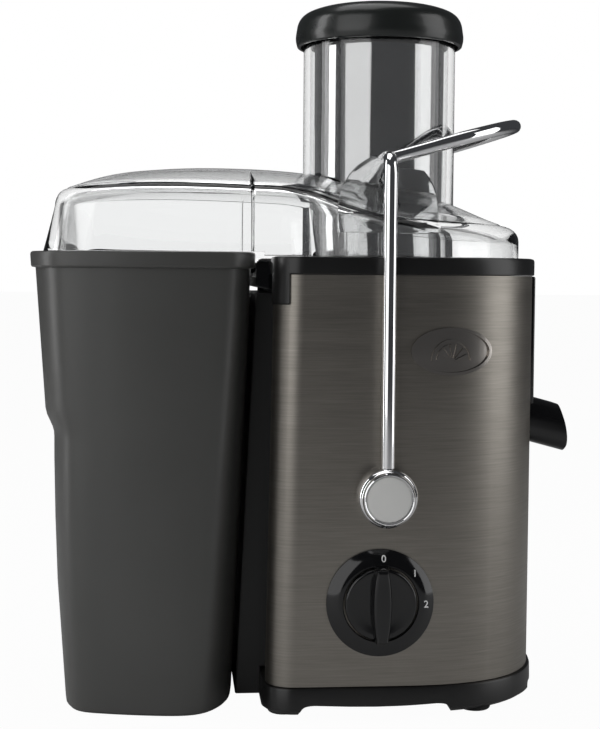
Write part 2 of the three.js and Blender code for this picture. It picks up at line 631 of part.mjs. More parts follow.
function makeControls() {
  const bezel = turnedToFront([
    [17, PANEL_FACE], [KNOB.bezel, PANEL_FACE], [KNOB.bezel, PANEL_FACE + 1.2], [KNOB.bezel - 1.6, PANEL_FACE + 3],
    [KNOB.bezel - 4, PANEL_FACE + 3.9], [18, PANEL_FACE + 3.4], [17, PANEL_FACE + 2.6], [17, PANEL_FACE],
  ], KNOB.x, KNOB.z, 36);
  piece("knob_bezel", bezel, glossBlack);
  const diskFront = PANEL_FACE + 4.8;
  const gripFront = 81.8;
  const disk = turnedToFront([
    [0, PANEL_FACE + GAP], [KNOB.radius, PANEL_FACE + GAP], [KNOB.radius, diskFront - 1],
    [KNOB.radius - 1.2, diskFront], [0, diskFront],
  ], KNOB.x, KNOB.z, 28);
  const grip = new THREE.Shape();
  const reach = 17.5;
  grip.moveTo(KNOB.x - 1.75, KNOB.z + reach);
  grip.quadraticCurveTo(KNOB.x - 4.6, KNOB.z, KNOB.x - 2.4, KNOB.z - reach);
  grip.lineTo(KNOB.x + 2.4, KNOB.z - reach);
  grip.quadraticCurveTo(KNOB.x + 4.6, KNOB.z, KNOB.x + 1.75, KNOB.z + reach);
  const bar = slab(grip, -gripFront, -diskFront + 0.4);
  const socket = turnedToFront([[0, 60], [3.3, 60], [3.3, diskFront - 1.5], [0, diskFront - 1.5]], KNOB.x, KNOB.z, 16);
  piece("speed_knob", disk.add(bar).subtract(socket), glossBlack);
  const shaft = turnedToFront([[0, 62], [3, 62], [3, diskFront - 1.8], [0, diskFront - 1.8]], KNOB.x, KNOB.z, 16);
  piece("switch_shaft", shaft, nylon);
  const half = 11;
  const block = box(KNOB.x - half, KNOB.x + half, -66, -48, KNOB.z - half, KNOB.z + half);
  const well = turnedToFront([[0, 61], [3.4, 61], [3.4, 70], [0, 70]], KNOB.x, KNOB.z, 16);
  let rotary = block.subtract(well);
  for (let i = 0; i < 3; i++) {
    const z = KNOB.z + (i - 1) * 6.5;
    rotary = rotary.add(box(KNOB.x - 2.5, KNOB.x + 2.5, -48.5, -42, z - 0.5, z + 0.5));
  }
  piece("rotary_switch", rotary, blackPlastic);
}

function makeMotor() {
  const shaftRadius = 4;
  const bore = shaftRadius + GAP;
  const seat = 8;
  piece("motor_shaft", disc(shaftRadius, 24, 143, 24), satinSteel);
  piece("rotor_core", ring(bore, 19, 44, 81, 28), satinSteel);
  piece("commutator", ring(bore, 9, 33, 42, 24), copper);
  piece("lower_bearing", ring(bore, seat, 26, 32, 24), satinSteel);
  piece("upper_bearing", ring(bore, seat, 99, 105, 24), satinSteel);
  const stack = box(-30, 30, -30, 30, 45, 80).subtract(disc(20, 0, FAR, 28));
  const bevels = solid(new THREE.CylinderGeometry(38, 38, 35, 4, 1).rotateX(Math.PI / 2).translate(0, 0, 62.5));
  piece("motor_stator", stack.intersect(bevels.add(disc(36, 45, 80, 8))), satinSteel);
  const coil = ring(21, 28, 80.4, 86, 28);
  piece("field_coil_left", coil.intersect(box(-FAR, -3, -FAR, FAR, 0, FAR)), copper);
  piece("field_coil_right", coil.intersect(box(3, FAR, -FAR, FAR, 0, FAR)), copper);
  let fan = ring(bore, 8, 87.5, 97, 16).add(ring(bore, 28, 87.5, 89, 28));
  const blades = 10;
  for (let i = 0; i < blades; i++) {
    fan = fan.add(box(7, 27.5, -0.6, 0.6, 88, 96).rotate([0, 0, (i * 360) / blades]));
  }
  piece("cooling_fan", fan, blackPlastic);
  let lower = ring(seat + GAP, 38, 26, 30.5, 24);
  let upper = ring(seat + GAP, 38, 99, 103, 24);
  for (const [, x, y] of corners(-MOTOR_POST, MOTOR_POST, MOTOR_POST)) {
    lower = lower.add(at(disc(3.2, 26, 44.7, 10), x, y));
    upper = upper.add(at(disc(3.2, 80.3, 111.7, 12), x, y));
  }
  for (const [where, x, y] of corners(-MOTOR_POST, MOTOR_POST, MOTOR_POST)) {
    upper = upper.subtract(at(disc(2.1, 104, 112, 12), x, y));
    const screw = turned([[0, 104.5], [1.7, 104.5], [1.7, 115.3], [3.6, 115.3], [3.6, 117], [2.6, 117.8], [0, 117.8]], 10);
    piece(`motor_screw_${where}`, at(screw, x, y), satinSteel);
  }
  piece("lower_bracket", lower, satinSteel);
  piece("upper_bracket", upper, satinSteel);
  for (const [where, turn] of [["left", (m) => m.mirror([1, 0, 0])], ["right", (m) => m]]) {
    piece(`carbon_brush_${where}`, turn(box(9.4, 18, -2.5, 2.5, 35, 40)), carbon);
    const holder = box(10.5, 27, -4, 4, 33.5, 41.5).subtract(box(10, 18.3, -2.8, 2.8, 34.7, 40.3));
    piece(`brush_holder_${where}`, turn(holder), nylon);
  }
  piece("shaft_seal", turned([[4.6, 112.5], [11.8, 112.5], [11.8, 116], [6, 118], [4.6, 118], [4.6, 112.5]], 20), rubber);
  let coupler = ring(bore, 9.4, 122, 143.5, 20).add(disc(9.4, 143.4, 145, 20));
  const splines = 6;
  for (let i = 0; i < splines; i++) {
    coupler = coupler.add(box(8.5, 11, -1.6, 1.6, 122, 144).rotate([0, 0, (i * 360) / splines]));
  }
  piece("drive_coupler", coupler, nylon);
}

function makeBasket() {
  const floorLow = 145.6;
  const socket = ring(11.5, 15, 137, floorLow + 1, 28);
  const cone = turned([
    [0, floorLow], [40, floorLow], [47, 201], [45.8, 201], [39.2, 148], [0, 148],
  ], 40);
  piece("filter_basket", cone.add(socket), satinSteel);
  piece("basket_rim", ring(45.4, 48.2, 201.3, 207.5, 40), blackPlastic);
  let grater = turned([[0, 148.3], [38.2, 148.3], [38.2, 149.6], [9, 150.6], [0, 153]], 28);
  const rows = 2;
  for (let r = 0; r < rows; r++) {
    const count = 6 + r * 4;
    for (let i = 0; i < count; i++) {
      const tooth = box(17 + r * 10, 21 + r * 10, -0.5, 0.5, 149, 151.6);
      grater = grater.add(tooth.rotate([0, 0, (i * 360) / count + r * 9]));
    }
  }
  piece("grater_disc", grater, satinSteel);
}

function makeBadge() {
  const centre = { x: 25.6, z: 170 };
  const half = { x: 19.5, z: 11 };
  const outline = [];
  const steps = 28;
  for (let i = 0; i < steps; i++) {
    const angle = (i / steps) * Math.PI * 2;
    outline.push([centre.x + half.x * Math.cos(angle), centre.z + half.z * Math.sin(angle)]);
  }
  const plate = slab(outline, -FAR / 4, 0);
  const outside = loft([bodyOutline(140, 1.3), bodyOutline(200, 1.3)]);
  const layer = outside.subtract(loft([bodyOutline(130, GAP), bodyOutline(210, GAP)]));
  piece("badge", plate.intersect(layer), chrome);
}

makeBase();
makeHousing();
makeBowl();
makeLid();
makeBin();
makeArm();
makeInterlock();
makeControls();
makeMotor();
makeBasket();
makeBadge();

export default root;
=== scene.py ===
"""Looks of a centrifugal juicer: fine shells, clear lid, polished arm and brushed steel."""
import json
import logging
import math
from dataclasses import dataclass
from enum import Enum
from typing import Callable, Iterable, Sequence

import bmesh
import bpy
from mathutils import Matrix, Vector


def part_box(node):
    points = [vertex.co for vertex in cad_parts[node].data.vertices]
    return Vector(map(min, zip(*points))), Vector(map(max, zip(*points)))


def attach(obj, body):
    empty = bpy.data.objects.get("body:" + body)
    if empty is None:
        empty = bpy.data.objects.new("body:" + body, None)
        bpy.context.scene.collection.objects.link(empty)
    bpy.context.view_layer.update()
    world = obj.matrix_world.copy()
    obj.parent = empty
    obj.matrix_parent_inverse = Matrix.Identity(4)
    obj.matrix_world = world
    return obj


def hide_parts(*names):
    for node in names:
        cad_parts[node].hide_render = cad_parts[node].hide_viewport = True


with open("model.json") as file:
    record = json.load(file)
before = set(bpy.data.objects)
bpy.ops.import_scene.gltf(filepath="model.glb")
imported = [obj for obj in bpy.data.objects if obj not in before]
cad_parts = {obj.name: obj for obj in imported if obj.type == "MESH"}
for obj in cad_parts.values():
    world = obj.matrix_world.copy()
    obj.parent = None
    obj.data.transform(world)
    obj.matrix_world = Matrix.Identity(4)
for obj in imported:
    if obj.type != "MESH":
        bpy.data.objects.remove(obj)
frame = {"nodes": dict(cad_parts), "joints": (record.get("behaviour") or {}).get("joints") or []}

LOG = logging.getLogger("juicer")
MM = 0.001
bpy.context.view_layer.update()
Object = bpy.types.Object
Material = bpy.types.Material
Point2 = tuple[float, float]
Key = str | int
CORNERS = ("front_left", "front_right", "rear_left", "rear_right")
PAST = 200
ABOVE = 400
FINE = 128
MERGE = 1e-6


class Body(Enum):
    """The moving bodies of the juicer."""

    HOUSING = "housing"
    ARM = "arm"
    PUSHER = "pusher"
    BIN = "bin"
    KNOB = "knob"
    SPINNER = "spinner"
    PLUNGER = "plunger"


class Way(Enum):
    """The direction that a turned or extruded piece's height runs in."""

    UP = "up"
    FRONT = "front"
    BACK = "back"
    RIGHT = "right"


class Side(Enum):
    """The front or the rear of the machine, as a sign along Y."""

    FRONT = -1
    REAR = 1


# ---------------------------------------------------------------- modelling


def only(obj: Object) -> Object:
    """Select one object alone and make it active."""
    bpy.ops.object.select_all(action="DESELECT")
    obj.select_set(True)
    bpy.context.view_layer.objects.active = obj
    return obj


def tidy_mesh(obj: Object, angle: float = 30.0) -> Object:
    """Merge doubles, close holes, face everything outwards and shade smooth up to an angle.

    Args:
        obj: the mesh object.
        angle: edges sharper than this many degrees stay sharp.

    Returns:
        The same object.
    """
    only(obj)
    bpy.ops.object.mode_set(mode="EDIT")
    bpy.ops.mesh.select_mode(type="VERT")
    bpy.ops.mesh.select_all(action="SELECT")
    bpy.ops.mesh.remove_doubles(threshold=MERGE)
    bpy.ops.mesh.dissolve_degenerate(threshold=1e-7)
    bpy.ops.mesh.select_all(action="SELECT")
    bpy.ops.mesh.fill_holes(sides=0)
    bpy.ops.mesh.select_all(action="SELECT")
    bpy.ops.mesh.normals_make_consistent(inside=False)
    bpy.ops.object.mode_set(mode="OBJECT")
    bpy.ops.object.shade_smooth_by_angle(angle=math.radians(angle))
    return obj


def ringed(name: str, rings: Sequence[Sequence[Vector]], angle: float = 30.0) -> Object:
    """A closed skin drawn ring by ring: a circle is extruded once for each ring and each ring is shaped.

    Args:
        name: the object's name.
        rings: rings of equally many points. Open ends are capped, and a ring of no width becomes a pole.
        angle: edges sharper than this many degrees stay sharp.

    Returns:
        The mesh object.
    """
    count = len(rings[0])
    bpy.ops.object.select_all(action="DESELECT")
    bpy.ops.mesh.primitive_circle_add(vertices=count, radius=1.0)
    obj = bpy.context.active_object
    obj.name = name
    bpy.ops.object.mode_set(mode="EDIT")
    bpy.ops.mesh.select_mode(type="VERT")
    mesh = bmesh.from_edit_mesh(obj.data)
    place = {key_of(v.co): v.index for v in mesh.verts}
    order = [list(range(count))]
    for _ in rings[1:]:
        bpy.ops.mesh.extrude_edges_move(TRANSFORM_OT_translate={"value": (0, 0, 0)})
        mesh = bmesh.from_edit_mesh(obj.data)
        mesh.verts.index_update()
        ring = [0] * count
        for vertex in mesh.verts:
            if vertex.select:
                ring[place[key_of(vertex.co)]] = vertex.index
        order.append(ring)
    mesh.verts.ensure_lookup_table()
    for ring, points in zip(order, rings):
        for index, point in zip(ring, points):
            mesh.verts[index].co = point
    bmesh.update_edit_mesh(obj.data)
    bpy.ops.object.mode_set(mode="OBJECT")
    return tidy_mesh(obj, angle)


def key_of(co: Vector) -> tuple[float, float]:
    """A vertex's place in plan, rounded so that copies of it match."""
    return round(co.x, 4), round(co.y, 4)


def rounded(points: Sequence[Point2], radii: Sequence[float] | float, steps: int = 6) -> list[Point2]:
    """An open outline with its corners rounded.

    Args:
        points: the corners, in millimetres.
        radii: one radius for all inner corners, or one for each of them.
        steps: how many stretches a corner gets.

    Returns:
        The rounded outline.
    """
    if isinstance(radii, (int, float)):
        radii = [radii] * (len(points) - 2)
    result = [points[0]]
    for before, corner, after, radius in zip(points, points[1:], points[2:], radii):
        a = Vector(before) - Vector(corner)
        b = Vector(after) - Vector(corner)
        reach = min(radius, 0.49 * a.length, 0.49 * b.length)
        start = Vector(corner) + a.normalized() * reach
        end = Vector(corner) + b.normalized() * reach
        for i in range(steps + 1):
            t = i / steps
            blend = start * (1 - t) ** 2 + Vector(corner) * 2 * t * (1 - t) + end * t * t
            result.append((blend.x, blend.y))
    result.append(points[-1])
    return result


def facing(way: Way, centre: Vector, a: float, b: float, height: float) -> Vector:
    """A point from its place across and along a way, all in metres."""
    if way is Way.UP:
        return Vector((centre.x + a, centre.y + b, height))
    if way is Way.FRONT:
        return Vector((centre.x + a, -height, centre.z + b))
    if way is Way.BACK:
        return Vector((centre.x + a, height, centre.z + b))
    return Vector((height, centre.y + a, centre.z + b))


def turned(
    name: str, profile: Sequence[
        Point2
    ], centre: Vector, way: Way = Way.UP, segments: int = 64, angle: float = 30.0
) -> Object:
    """A piece turned about an axis.

    Args:
        name: the object's name.
        profile: (radius, height) pairs in millimetres. It closes on itself, or runs from the axis
            and back to it.
        centre: a point on the axis.
        way: where the heights run.
        segments: how many steps go round.
        angle: edges sharper than this many degrees stay sharp.

    Returns:
        The mesh object.
    """
    rings = []
    for radius, height in profile:
        ring = []
        for i in range(segments):
            turn = 2 * math.pi * i / segments
            a = radius * MM * math.cos(turn)
            b = radius * MM * math.sin(turn)
            ring.append(facing(way, centre, a, b, height * MM))
        rings.append(ring)
    return ringed(name, rings, angle)


def arc_of(radius: float, first: float, last: float, steps: int, rise: float = 0.0) -> list[Point2]:
    """Points along an arc, from one angle to another in radians, its centre raised or sunk."""
    turns = [first + (last - first) * i / steps for i in range(steps + 1)]
    return [(radius * math.cos(turn), radius * math.sin(turn) + rise) for turn in turns]


def drill(
    radius: float, low: float, high: float, centre: Vector, way: Way = Way.UP, segments: int = 64
) -> Object:
    """A round cutter of a radius between two heights, in millimetres."""
    profile = [(0, low), (radius, low), (radius, high), (0, high)]
    return turned("tool", profile, centre, way, segments)


def prism(
    name: str, outline: Sequence[
        Point2
    ], low: float, high: float, way: Way, centre: Vector, edge: float = 0.0
) -> Object:
    """An outline given a thickness, with its two rims rounded.

    Args:
        name: the object's name.
        outline: points across the way, in millimetres about the centre.
        low: where it starts, in millimetres.
        high: where it ends.
        way: the direction of its thickness.
        centre: the outline's own zero.
        edge: the radius of both rims, in millimetres.

    Returns:
        The mesh object.
    """
    levels = [(0.0, low), (0.0, high)]
    if edge:
        levels = [(-edge, low), (-0.3 * edge, low + 0.3 * edge), (0.0, low + edge)]
        levels += [(0.0, high - edge), (-0.3 * edge, high - 0.3 * edge), (-edge, high)]
    rings = []
    for offset, height in levels:
        grown = grow(outline, offset)
        rings.append([facing(way, centre, a * MM, b * MM, height * MM) for a, b in grown])
    return ringed(name, rings)


def grow(outline: Sequence[Point2], offset: float) -> list[Point2]:
    """A closed outline moved outwards along its own normals."""
    count = len(outline)
    area = sum(
        outline[i - 1][0] * outline[i][1] - outline[i][0] * outline[i - 1][1] for i in range(count)
    )
    sign = 1 if area > 0 else -1
    result = []
    for i, (x, y) in enumerate(outline):
        before = outline[i - 1]
        after = outline[(i + 1) % count]
        tangent = Vector((after[0] - before[0], after[1] - before[1]))
        if tangent.length < 1e-9:
            result.append((x, y))
            continue
        tangent.normalize()
        result.append((x + sign * tangent.y * offset, y - sign * tangent.x * offset))
    return result


def block(name: str, low: Vector, high: Vector, edge: float = 0.0) -> Object:
    """A box between two corners, with bevelled edges where an edge width is given."""
    bpy.ops.object.select_all(action="DESELECT")
    bpy.ops.mesh.primitive_cube_add(size=1.0)
    obj = bpy.context.active_object
    obj.name = name
    middle = (low + high) / 2
    size = high - low
    obj.data.transform(Matrix.Translation(middle) @ Matrix.Diagonal((*size, 1.0)))
    if edge:
        bevel(obj, edge)
    return obj


def bevel(obj: Object, width: float, segments: int = 3, angle: float = 40.0) -> Object:
    """Round every edge sharper than an angle.

    Args:
        obj: the mesh object.
        width: the bevel's width, in metres.
        segments: its steps.
        angle: in degrees.

    Returns:
        The same object.
    """
    only(obj)
    modifier = obj.modifiers.new("round", "BEVEL")
    modifier.width = width
    modifier.segments = segments
    modifier.limit_method = "ANGLE"
    modifier.angle_limit = math.radians(angle)
    modifier.use_clamp_overlap = True
    bpy.ops.object.modifier_apply(modifier=modifier.name)
    bpy.ops.object.shade_smooth_by_angle(angle=math.radians(angle))
    return obj


def boolean(obj: Object, tool: Object, operation: str) -> Object:
    """Join, cut or keep with another solid, which is used up."""
    only(obj)
    modifier = obj.modifiers.new("boolean", "BOOLEAN")
    modifier.operation = operation
    modifier.solver = "EXACT"
    modifier.object = tool
    bpy.ops.object.modifier_apply(modifier=modifier.name)
    bpy.data.objects.remove(tool)
    only(obj)
    bpy.ops.object.shade_smooth_by_angle(angle=math.radians(30))
    return obj


def cut(obj: Object, *tools: Object) -> Object:
    """Take other solids away from a piece."""
    for tool in tools:
        boolean(obj, tool, "DIFFERENCE")
    return obj


def unite(obj: Object, *others: Object) -> Object:
    """Join other solids to a piece."""
    for other in others:
        boolean(obj, other, "UNION")
    return obj


def rod(name: str, path: Sequence[Vector], radius: float) -> Object:
    """A round bar along a path, as a mesh with closed ends."""
    curve = bpy.data.curves.new(name, "CURVE")
    curve.dimensions = "3D"
    curve.bevel_depth = radius
    curve.bevel_resolution = 8
    curve.use_fill_caps = True
    spline = curve.splines.new("POLY")
    spline.points.add(len(path) - 1)
    for point, place in zip(spline.points, path):
        point.co = (*place, 1.0)
    obj = bpy.data.objects.new(name, curve)
    bpy.context.scene.collection.objects.link(obj)
    only(obj)
    bpy.ops.object.convert(target="MESH")
    return tidy_mesh(bpy.context.active_object, 50.0)


def copy_of(obj: Object, name: str) -> Object:
    """A copy of a piece with a mesh of its own."""
    twin = obj.copy()
    twin.data = obj.data.copy()
    twin.name = name
    bpy.context.scene.collection.objects.link(twin)
    return twin


def shifted(obj: Object, offset: Vector) -> Object:
    """Move a piece's mesh, its object staying at the origin."""
    obj.data.transform(Matrix.Translation(offset))
    return obj


def spun(obj: Object, turn: float, centre: Vector, axis: str = "Z") -> Object:
    """Turn a piece's mesh about an axis through a point, in radians."""
    there = Matrix.Translation(centre)
    obj.data.transform(there @ Matrix.Rotation(turn, 4, axis) @ there.inverted())
    return obj


def joined(name: str, pieces: Sequence[Object]) -> Object:
    """Several meshes as one object."""
    bpy.ops.object.select_all(action="DESELECT")
    for piece in pieces:
        piece.select_set(True)
    bpy.context.view_layer.objects.active = pieces[0]
    bpy.ops.object.join()
    pieces[0].name = name
    return pieces[0]


def fit(obj: Object, finish: Material, slot: str, body: Body, *nodes: str) -> Object:
    """Dress a piece, put it on its body and let it stand for its CAD nodes.

    Args:
        obj: the piece.
        finish: its material.
        slot: the record's material slot; not used.
        body: the body that it moves with.
        nodes: the CAD nodes that it replaces.

    Returns:
        The piece.
    """
    obj.data.materials.clear()
    obj.data.materials.append(finish)
    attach(obj, body.value)
    if nodes:
        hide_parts(*nodes)
    LOG.info("%s on %s: %d faces", obj.name, body.value, len(obj.data.polygons))
    return obj


def smooth_along(table: Sequence[Point2], x: float) -> float:
    """A smooth curve through (x, value) pairs, level past its ends."""
    if x <= table[0][0]:
        return table[0][1]
    if x >= table[-1][0]:
        return table[-1][1]
    last = len(table) - 1
    slopes = []
    for i in range(last + 1):
        a = table[max(i - 1, 0)]
        b = table[min(i + 1, last)]
        slopes.append((b[1] - a[1]) / (b[0] - a[0]))
    for i in range(last):
        x0, v0 = table[i]
        x1, v1 = table[i + 1]
        if x <= x1:
            break
    width = x1 - x0
    t = (x - x0) / width
    return (
        v0 * (1 + 2 * t) * (1 - t) ** 2
        + v1 * t * t * (3 - 2 * t)
        + slopes[i] * width * t * (1 - t) ** 2
        - slopes[i + 1] * width * t * t * (1 - t)
    )


# ---------------------------------------------------------------- places taken from the frame


@dataclass(frozen=True)
class Places:
    """The axes and faces that every sub-assembly is built about, in metres."""

    axis: Vector
    pivot: Vector
    knob: Vector
    half_width: float
    half_depth: float
    left: float
    rim_top: float
    panel_top: float
    panel_bottom: float

    @staticmethod
    def from_frame() -> "Places":
        """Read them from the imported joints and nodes."""
        joints = {joint["name"]: Vector(joint["pos_m"]) for joint in frame["joints"] if "pos_m" in joint}
        axis = joints["basket_spin"].copy()
        axis.z = 0
        low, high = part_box("steel_panel")
        return Places(
            axis=axis,
            pivot=joints["arm_swing"],
            knob=joints["knob_turn"],
            half_width=high.x - axis.x,
            half_depth=high.y,
            left=axis.x - low.x,
            rim_top=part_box("top_rim")[1].z,
            panel_top=high.z,
            panel_bottom=low.z,
        )


PLACES = Places.from_frame()


# ---------------------------------------------------------------- finishes


def put(node: bpy.types.Node, **values: object) -> bpy.types.Node:
    """Set a node's inputs by name, with _ for a space, or its properties."""
    for key, value in values.items():
        label = key.replace("_", " ")
        if label in node.inputs:
            node.inputs[label].default_value = value
        else:
            setattr(node, key, value)
    return node


class Nodes:
    """A short way to add and link shader nodes in one tree."""

    def __init__(self, tree: bpy.types.NodeTree) -> None:
        """Keep the tree."""
        self.tree = tree

    def add(self, kind: str, **values: object) -> bpy.types.Node:
        """Add a node; values set its inputs by name, with _ for a space, or its properties."""
        return put(self.tree.nodes.new(kind), **values)

    def link(self, source: bpy.types.NodeSocket, target: bpy.types.NodeSocket) -> None:
        """Join an output to an input."""
        self.tree.links.new(source, target)

    def wire(self, *links: tuple[bpy.types.Node, Key, bpy.types.Node, Key]) -> None:
        """Join outputs to inputs, each link as (node, output, node, input)."""
        for source, out, target, into in links:
            self.link(source.outputs[out], target.inputs[into])


def group_tree(
    name: str, inputs: dict[str, float], outputs: dict[str, str],
) -> tuple[bpy.types.NodeTree, Nodes]:
    """A new shader node group with float inputs and the outputs asked for.

    Args:
        name: the group's name.
        inputs: names and default values.
        outputs: names and socket types.

    Returns:
        The group and its node helper.
    """
    tree = bpy.data.node_groups.new(name, "ShaderNodeTree")
    for key, value in inputs.items():
        socket = tree.interface.new_socket(key, in_out="INPUT", socket_type="NodeSocketFloat")
        socket.default_value = value
    for key, kind in outputs.items():
        tree.interface.new_socket(key, in_out="OUTPUT", socket_type=kind)
    return tree, Nodes(tree)


def make_grain_group() -> bpy.types.NodeTree:
    """Moulded or cast surface: a fine grain height and a broad cloudy mask."""
    tree, nodes = group_tree(
        "moulded_grain",
        {"Grain": 2500.0, "Clouds": 18.0},
        {"Height": "NodeSocketFloat", "Mask": "NodeSocketFloat"},
    )
    source = nodes.add("NodeGroupInput")
    sink = nodes.add("NodeGroupOutput")
    place = nodes.add("ShaderNodeTexCoord")
    grain = nodes.add("ShaderNodeTexNoise", Detail=3.0, Roughness=0.6)
    clouds = nodes.add("ShaderNodeTexNoise", Detail=4.0, Roughness=0.55)
    nodes.wire(
        (place, "Object", grain, "Vector"), (place, "Object", clouds, "Vector"),
        (source, "Grain", grain, "Scale"), (source, "Clouds", clouds, "Scale"),
        (grain, "Fac", sink, "Height"), (clouds, "Fac", sink, "Mask"),
    )
    return tree


def make_brushing_group() -> bpy.types.NodeTree:
    """Brushed metal: long fine streaks that run level round the piece."""
    tree, nodes = group_tree(
        "level_brushing",
        {"Streaks": 1800.0, "Length": 40.0},
        {"Value": "NodeSocketFloat", "Broad": "NodeSocketFloat"},
    )
    source = nodes.add("NodeGroupInput")
    sink = nodes.add("NodeGroupOutput")
    place = nodes.add("ShaderNodeTexCoord")
    parts = nodes.add("ShaderNodeSeparateXYZ")
    nodes.wire((place, "Object", parts, "Vector"))
    scaled = []
    for axis, key in (("X", "Length"), ("Y", "Length"), ("Z", "Streaks")):
        times = nodes.add("ShaderNodeMath", operation="MULTIPLY")
        nodes.wire((parts, axis, times, 0), (source, key, times, 1))
        scaled.append(times)
    place_again = nodes.add("ShaderNodeCombineXYZ")
    for times, axis in zip(scaled, "XYZ"):
        nodes.wire((times, 0, place_again, axis))
    fine = nodes.add("ShaderNodeTexNoise", Scale=1.0, Detail=5.0, Roughness=0.65)
    broad = nodes.add("ShaderNodeTexNoise", Scale=0.12, Detail=3.0, Roughness=0.5)
    for noise, out in ((fine, "Value"), (broad, "Broad")):
        nodes.wire((place_again, "Vector", noise, "Vector"), (noise, "Fac", sink, out))
    return tree


def make_wear_group() -> bpy.types.NodeTree:
    """Edge wear: a mask that is high on convex edges, broken up by noise."""
    tree, nodes = group_tree("edge_wear", {"Amount": 0.5}, {"Mask": "NodeSocketFloat"})
    source = nodes.add("NodeGroupInput")
    sink = nodes.add("NodeGroupOutput")
    shape = nodes.add("ShaderNodeNewGeometry")
    place = nodes.add("ShaderNodeTexCoord")
    noise = nodes.add("ShaderNodeTexNoise", Scale=220.0, Detail=4.0)
    ramp = nodes.add("ShaderNodeMapRange", From_Min=0.54, From_Max=0.62, To_Min=0.0, To_Max=1.0)
    both = nodes.add("ShaderNodeMath", operation="MULTIPLY")
    amount = nodes.add("ShaderNodeMath", operation="MULTIPLY")
    nodes.wire(
        (place, "Object", noise, "Vector"), (shape, "Pointiness", ramp, "Value"),
        (ramp, "Result", both, 0), (noise, "Fac", both, 1), (both, 0, amount, 0),
        (source, "Amount", amount, 1), (amount, 0, sink, "Mask"),
    )
    return tree


GRAIN = make_grain_group()
BRUSHING = make_brushing_group()
WEAR = make_wear_group()


def new_material(name: str) -> tuple[Material, Nodes, bpy.types.Node]:
    """A material with its tree helper and its Principled shader."""
    made = bpy.data.materials.new(name)
    made.use_nodes = True
    return made, Nodes(made.node_tree), made.node_tree.nodes["Principled BSDF"]


@dataclass(frozen=True)
class Moulded:
    """A moulded plastic or rubber: base colour, gloss, grain and faint clouding."""

    name: str
    color: tuple[float, float, float]
    roughness: float
    grain: float = 2500.0
    depth: float = 0.00002
    variation: float = 0.08
    coat: float = 0.0
    wear: float = 0.35

    def make(self) -> Material:
        """Build the material."""
        made, nodes, shader = new_material(self.name)
        texture = nodes.add("ShaderNodeGroup", node_tree=GRAIN, Grain=self.grain)
        wear = nodes.add("ShaderNodeGroup", node_tree=WEAR, Amount=self.wear)
        clouded = nodes.add(
            "ShaderNodeMixRGB", blend_type="MIX", Color1=(*self.color, 1),
            Color2=(*(min(1.0, c * 1.25 + 0.002) for c in self.color), 1),
        )
        worn = nodes.add(
            "ShaderNodeMixRGB", blend_type="MIX",
            Color2=(*(min(1.0, c * 1.5 + 0.03) for c in self.color), 1),
        )
        rough = nodes.add(
            "ShaderNodeMapRange", To_Min=max(0.02, self.roughness - self.variation),
            To_Max=self.roughness + self.variation,
        )
        bump = nodes.add("ShaderNodeBump", Strength=0.5, Distance=self.depth)
        nodes.wire(
            (texture, "Mask", clouded, "Fac"), (clouded, "Color", worn, "Color1"),
            (wear, "Mask", worn, "Fac"), (worn, "Color", shader, "Base Color"),
            (texture, "Mask", rough, "Value"), (rough, "Result", shader, "Roughness"),
            (texture, "Height", bump, "Height"), (bump, "Normal", shader, "Normal"),
        )
        put(shader, Coat_Weight=self.coat, Coat_Roughness=0.04)
        return made


@dataclass(frozen=True)
class Metal:
    """A metal, polished, satin or brushed along level lines."""

    name: str
    color: tuple[float, float, float]
    roughness: float
    brushing: float = 0.0
    contrast: float = 0.12
    streaks: float = 1800.0
    anisotropic: float = 0.0

    def make(self) -> Material:
        """Build the material."""
        made, nodes, shader = new_material(self.name)
        lines = nodes.add("ShaderNodeGroup", node_tree=BRUSHING, Streaks=self.streaks)
        wear = nodes.add("ShaderNodeGroup", node_tree=WEAR, Amount=0.3)
        tone = nodes.add("ShaderNodeMixRGB", blend_type="MIX")
        low = 1 - self.contrast
        high = 1 + self.contrast
        put(
            tone, Color1=(*(c * low for c in self.color), 1),
            Color2=(*(min(1.0, c * high) for c in self.color), 1),
        )
        worn = nodes.add(
            "ShaderNodeMixRGB", blend_type="MIX", Color2=(*(min(1.0, c * 1.3) for c in self.color), 1),
        )
        rough = nodes.add("ShaderNodeMapRange")
        spread = 0.12 * self.roughness
        put(rough, To_Min=max(0.01, self.roughness - spread), To_Max=self.roughness + spread)
        bump = nodes.add("ShaderNodeBump", Strength=0.25 + 0.5 * self.brushing, Distance=0.00001)
        nodes.wire(
            (lines, "Value", tone, "Fac"), (tone, "Color", worn, "Color1"), (wear, "Mask", worn, "Fac"),
            (worn, "Color", shader, "Base Color"), (lines, "Broad", rough, "Value"),
            (rough, "Result", shader, "Roughness"), (lines, "Value", bump, "Height"),
        )
        if self.brushing:
            nodes.wire((bump, "Normal", shader, "Normal"))
        put(shader, Metallic=1.0, Anisotropic=self.anisotropic)
        return made


@dataclass(frozen=True)
class ClearPlastic:
    """Clear polycarbonate with the faintest haze."""

    name: str = "clear_polycarbonate"
    tint: tuple[float, float, float] = (0.975, 0.98, 0.98)
    ior: float = 1.45

    def make(self) -> Material:
        """Build the material."""
        made, nodes, shader = new_material(self.name)
        texture = nodes.add("ShaderNodeGroup", node_tree=GRAIN, Clouds=30.0)
        rough = nodes.add("ShaderNodeMapRange", To_Min=0.0, To_Max=0.035)
        tint = nodes.add(
            "ShaderNodeMixRGB", blend_type="MIX", Color1=(*self.tint, 1),
            Color2=(*(0.985 * c for c in self.tint), 1),
        )
        nodes.wire(
            (texture, "Mask", rough, "Value"), (texture, "Mask", tint, "Fac"),
            (rough, "Result", shader, "Roughness"), (tint, "Color", shader, "Base Color"),
        )
        put(shader, Transmission_Weight=1.0, IOR=self.ior)
        return made


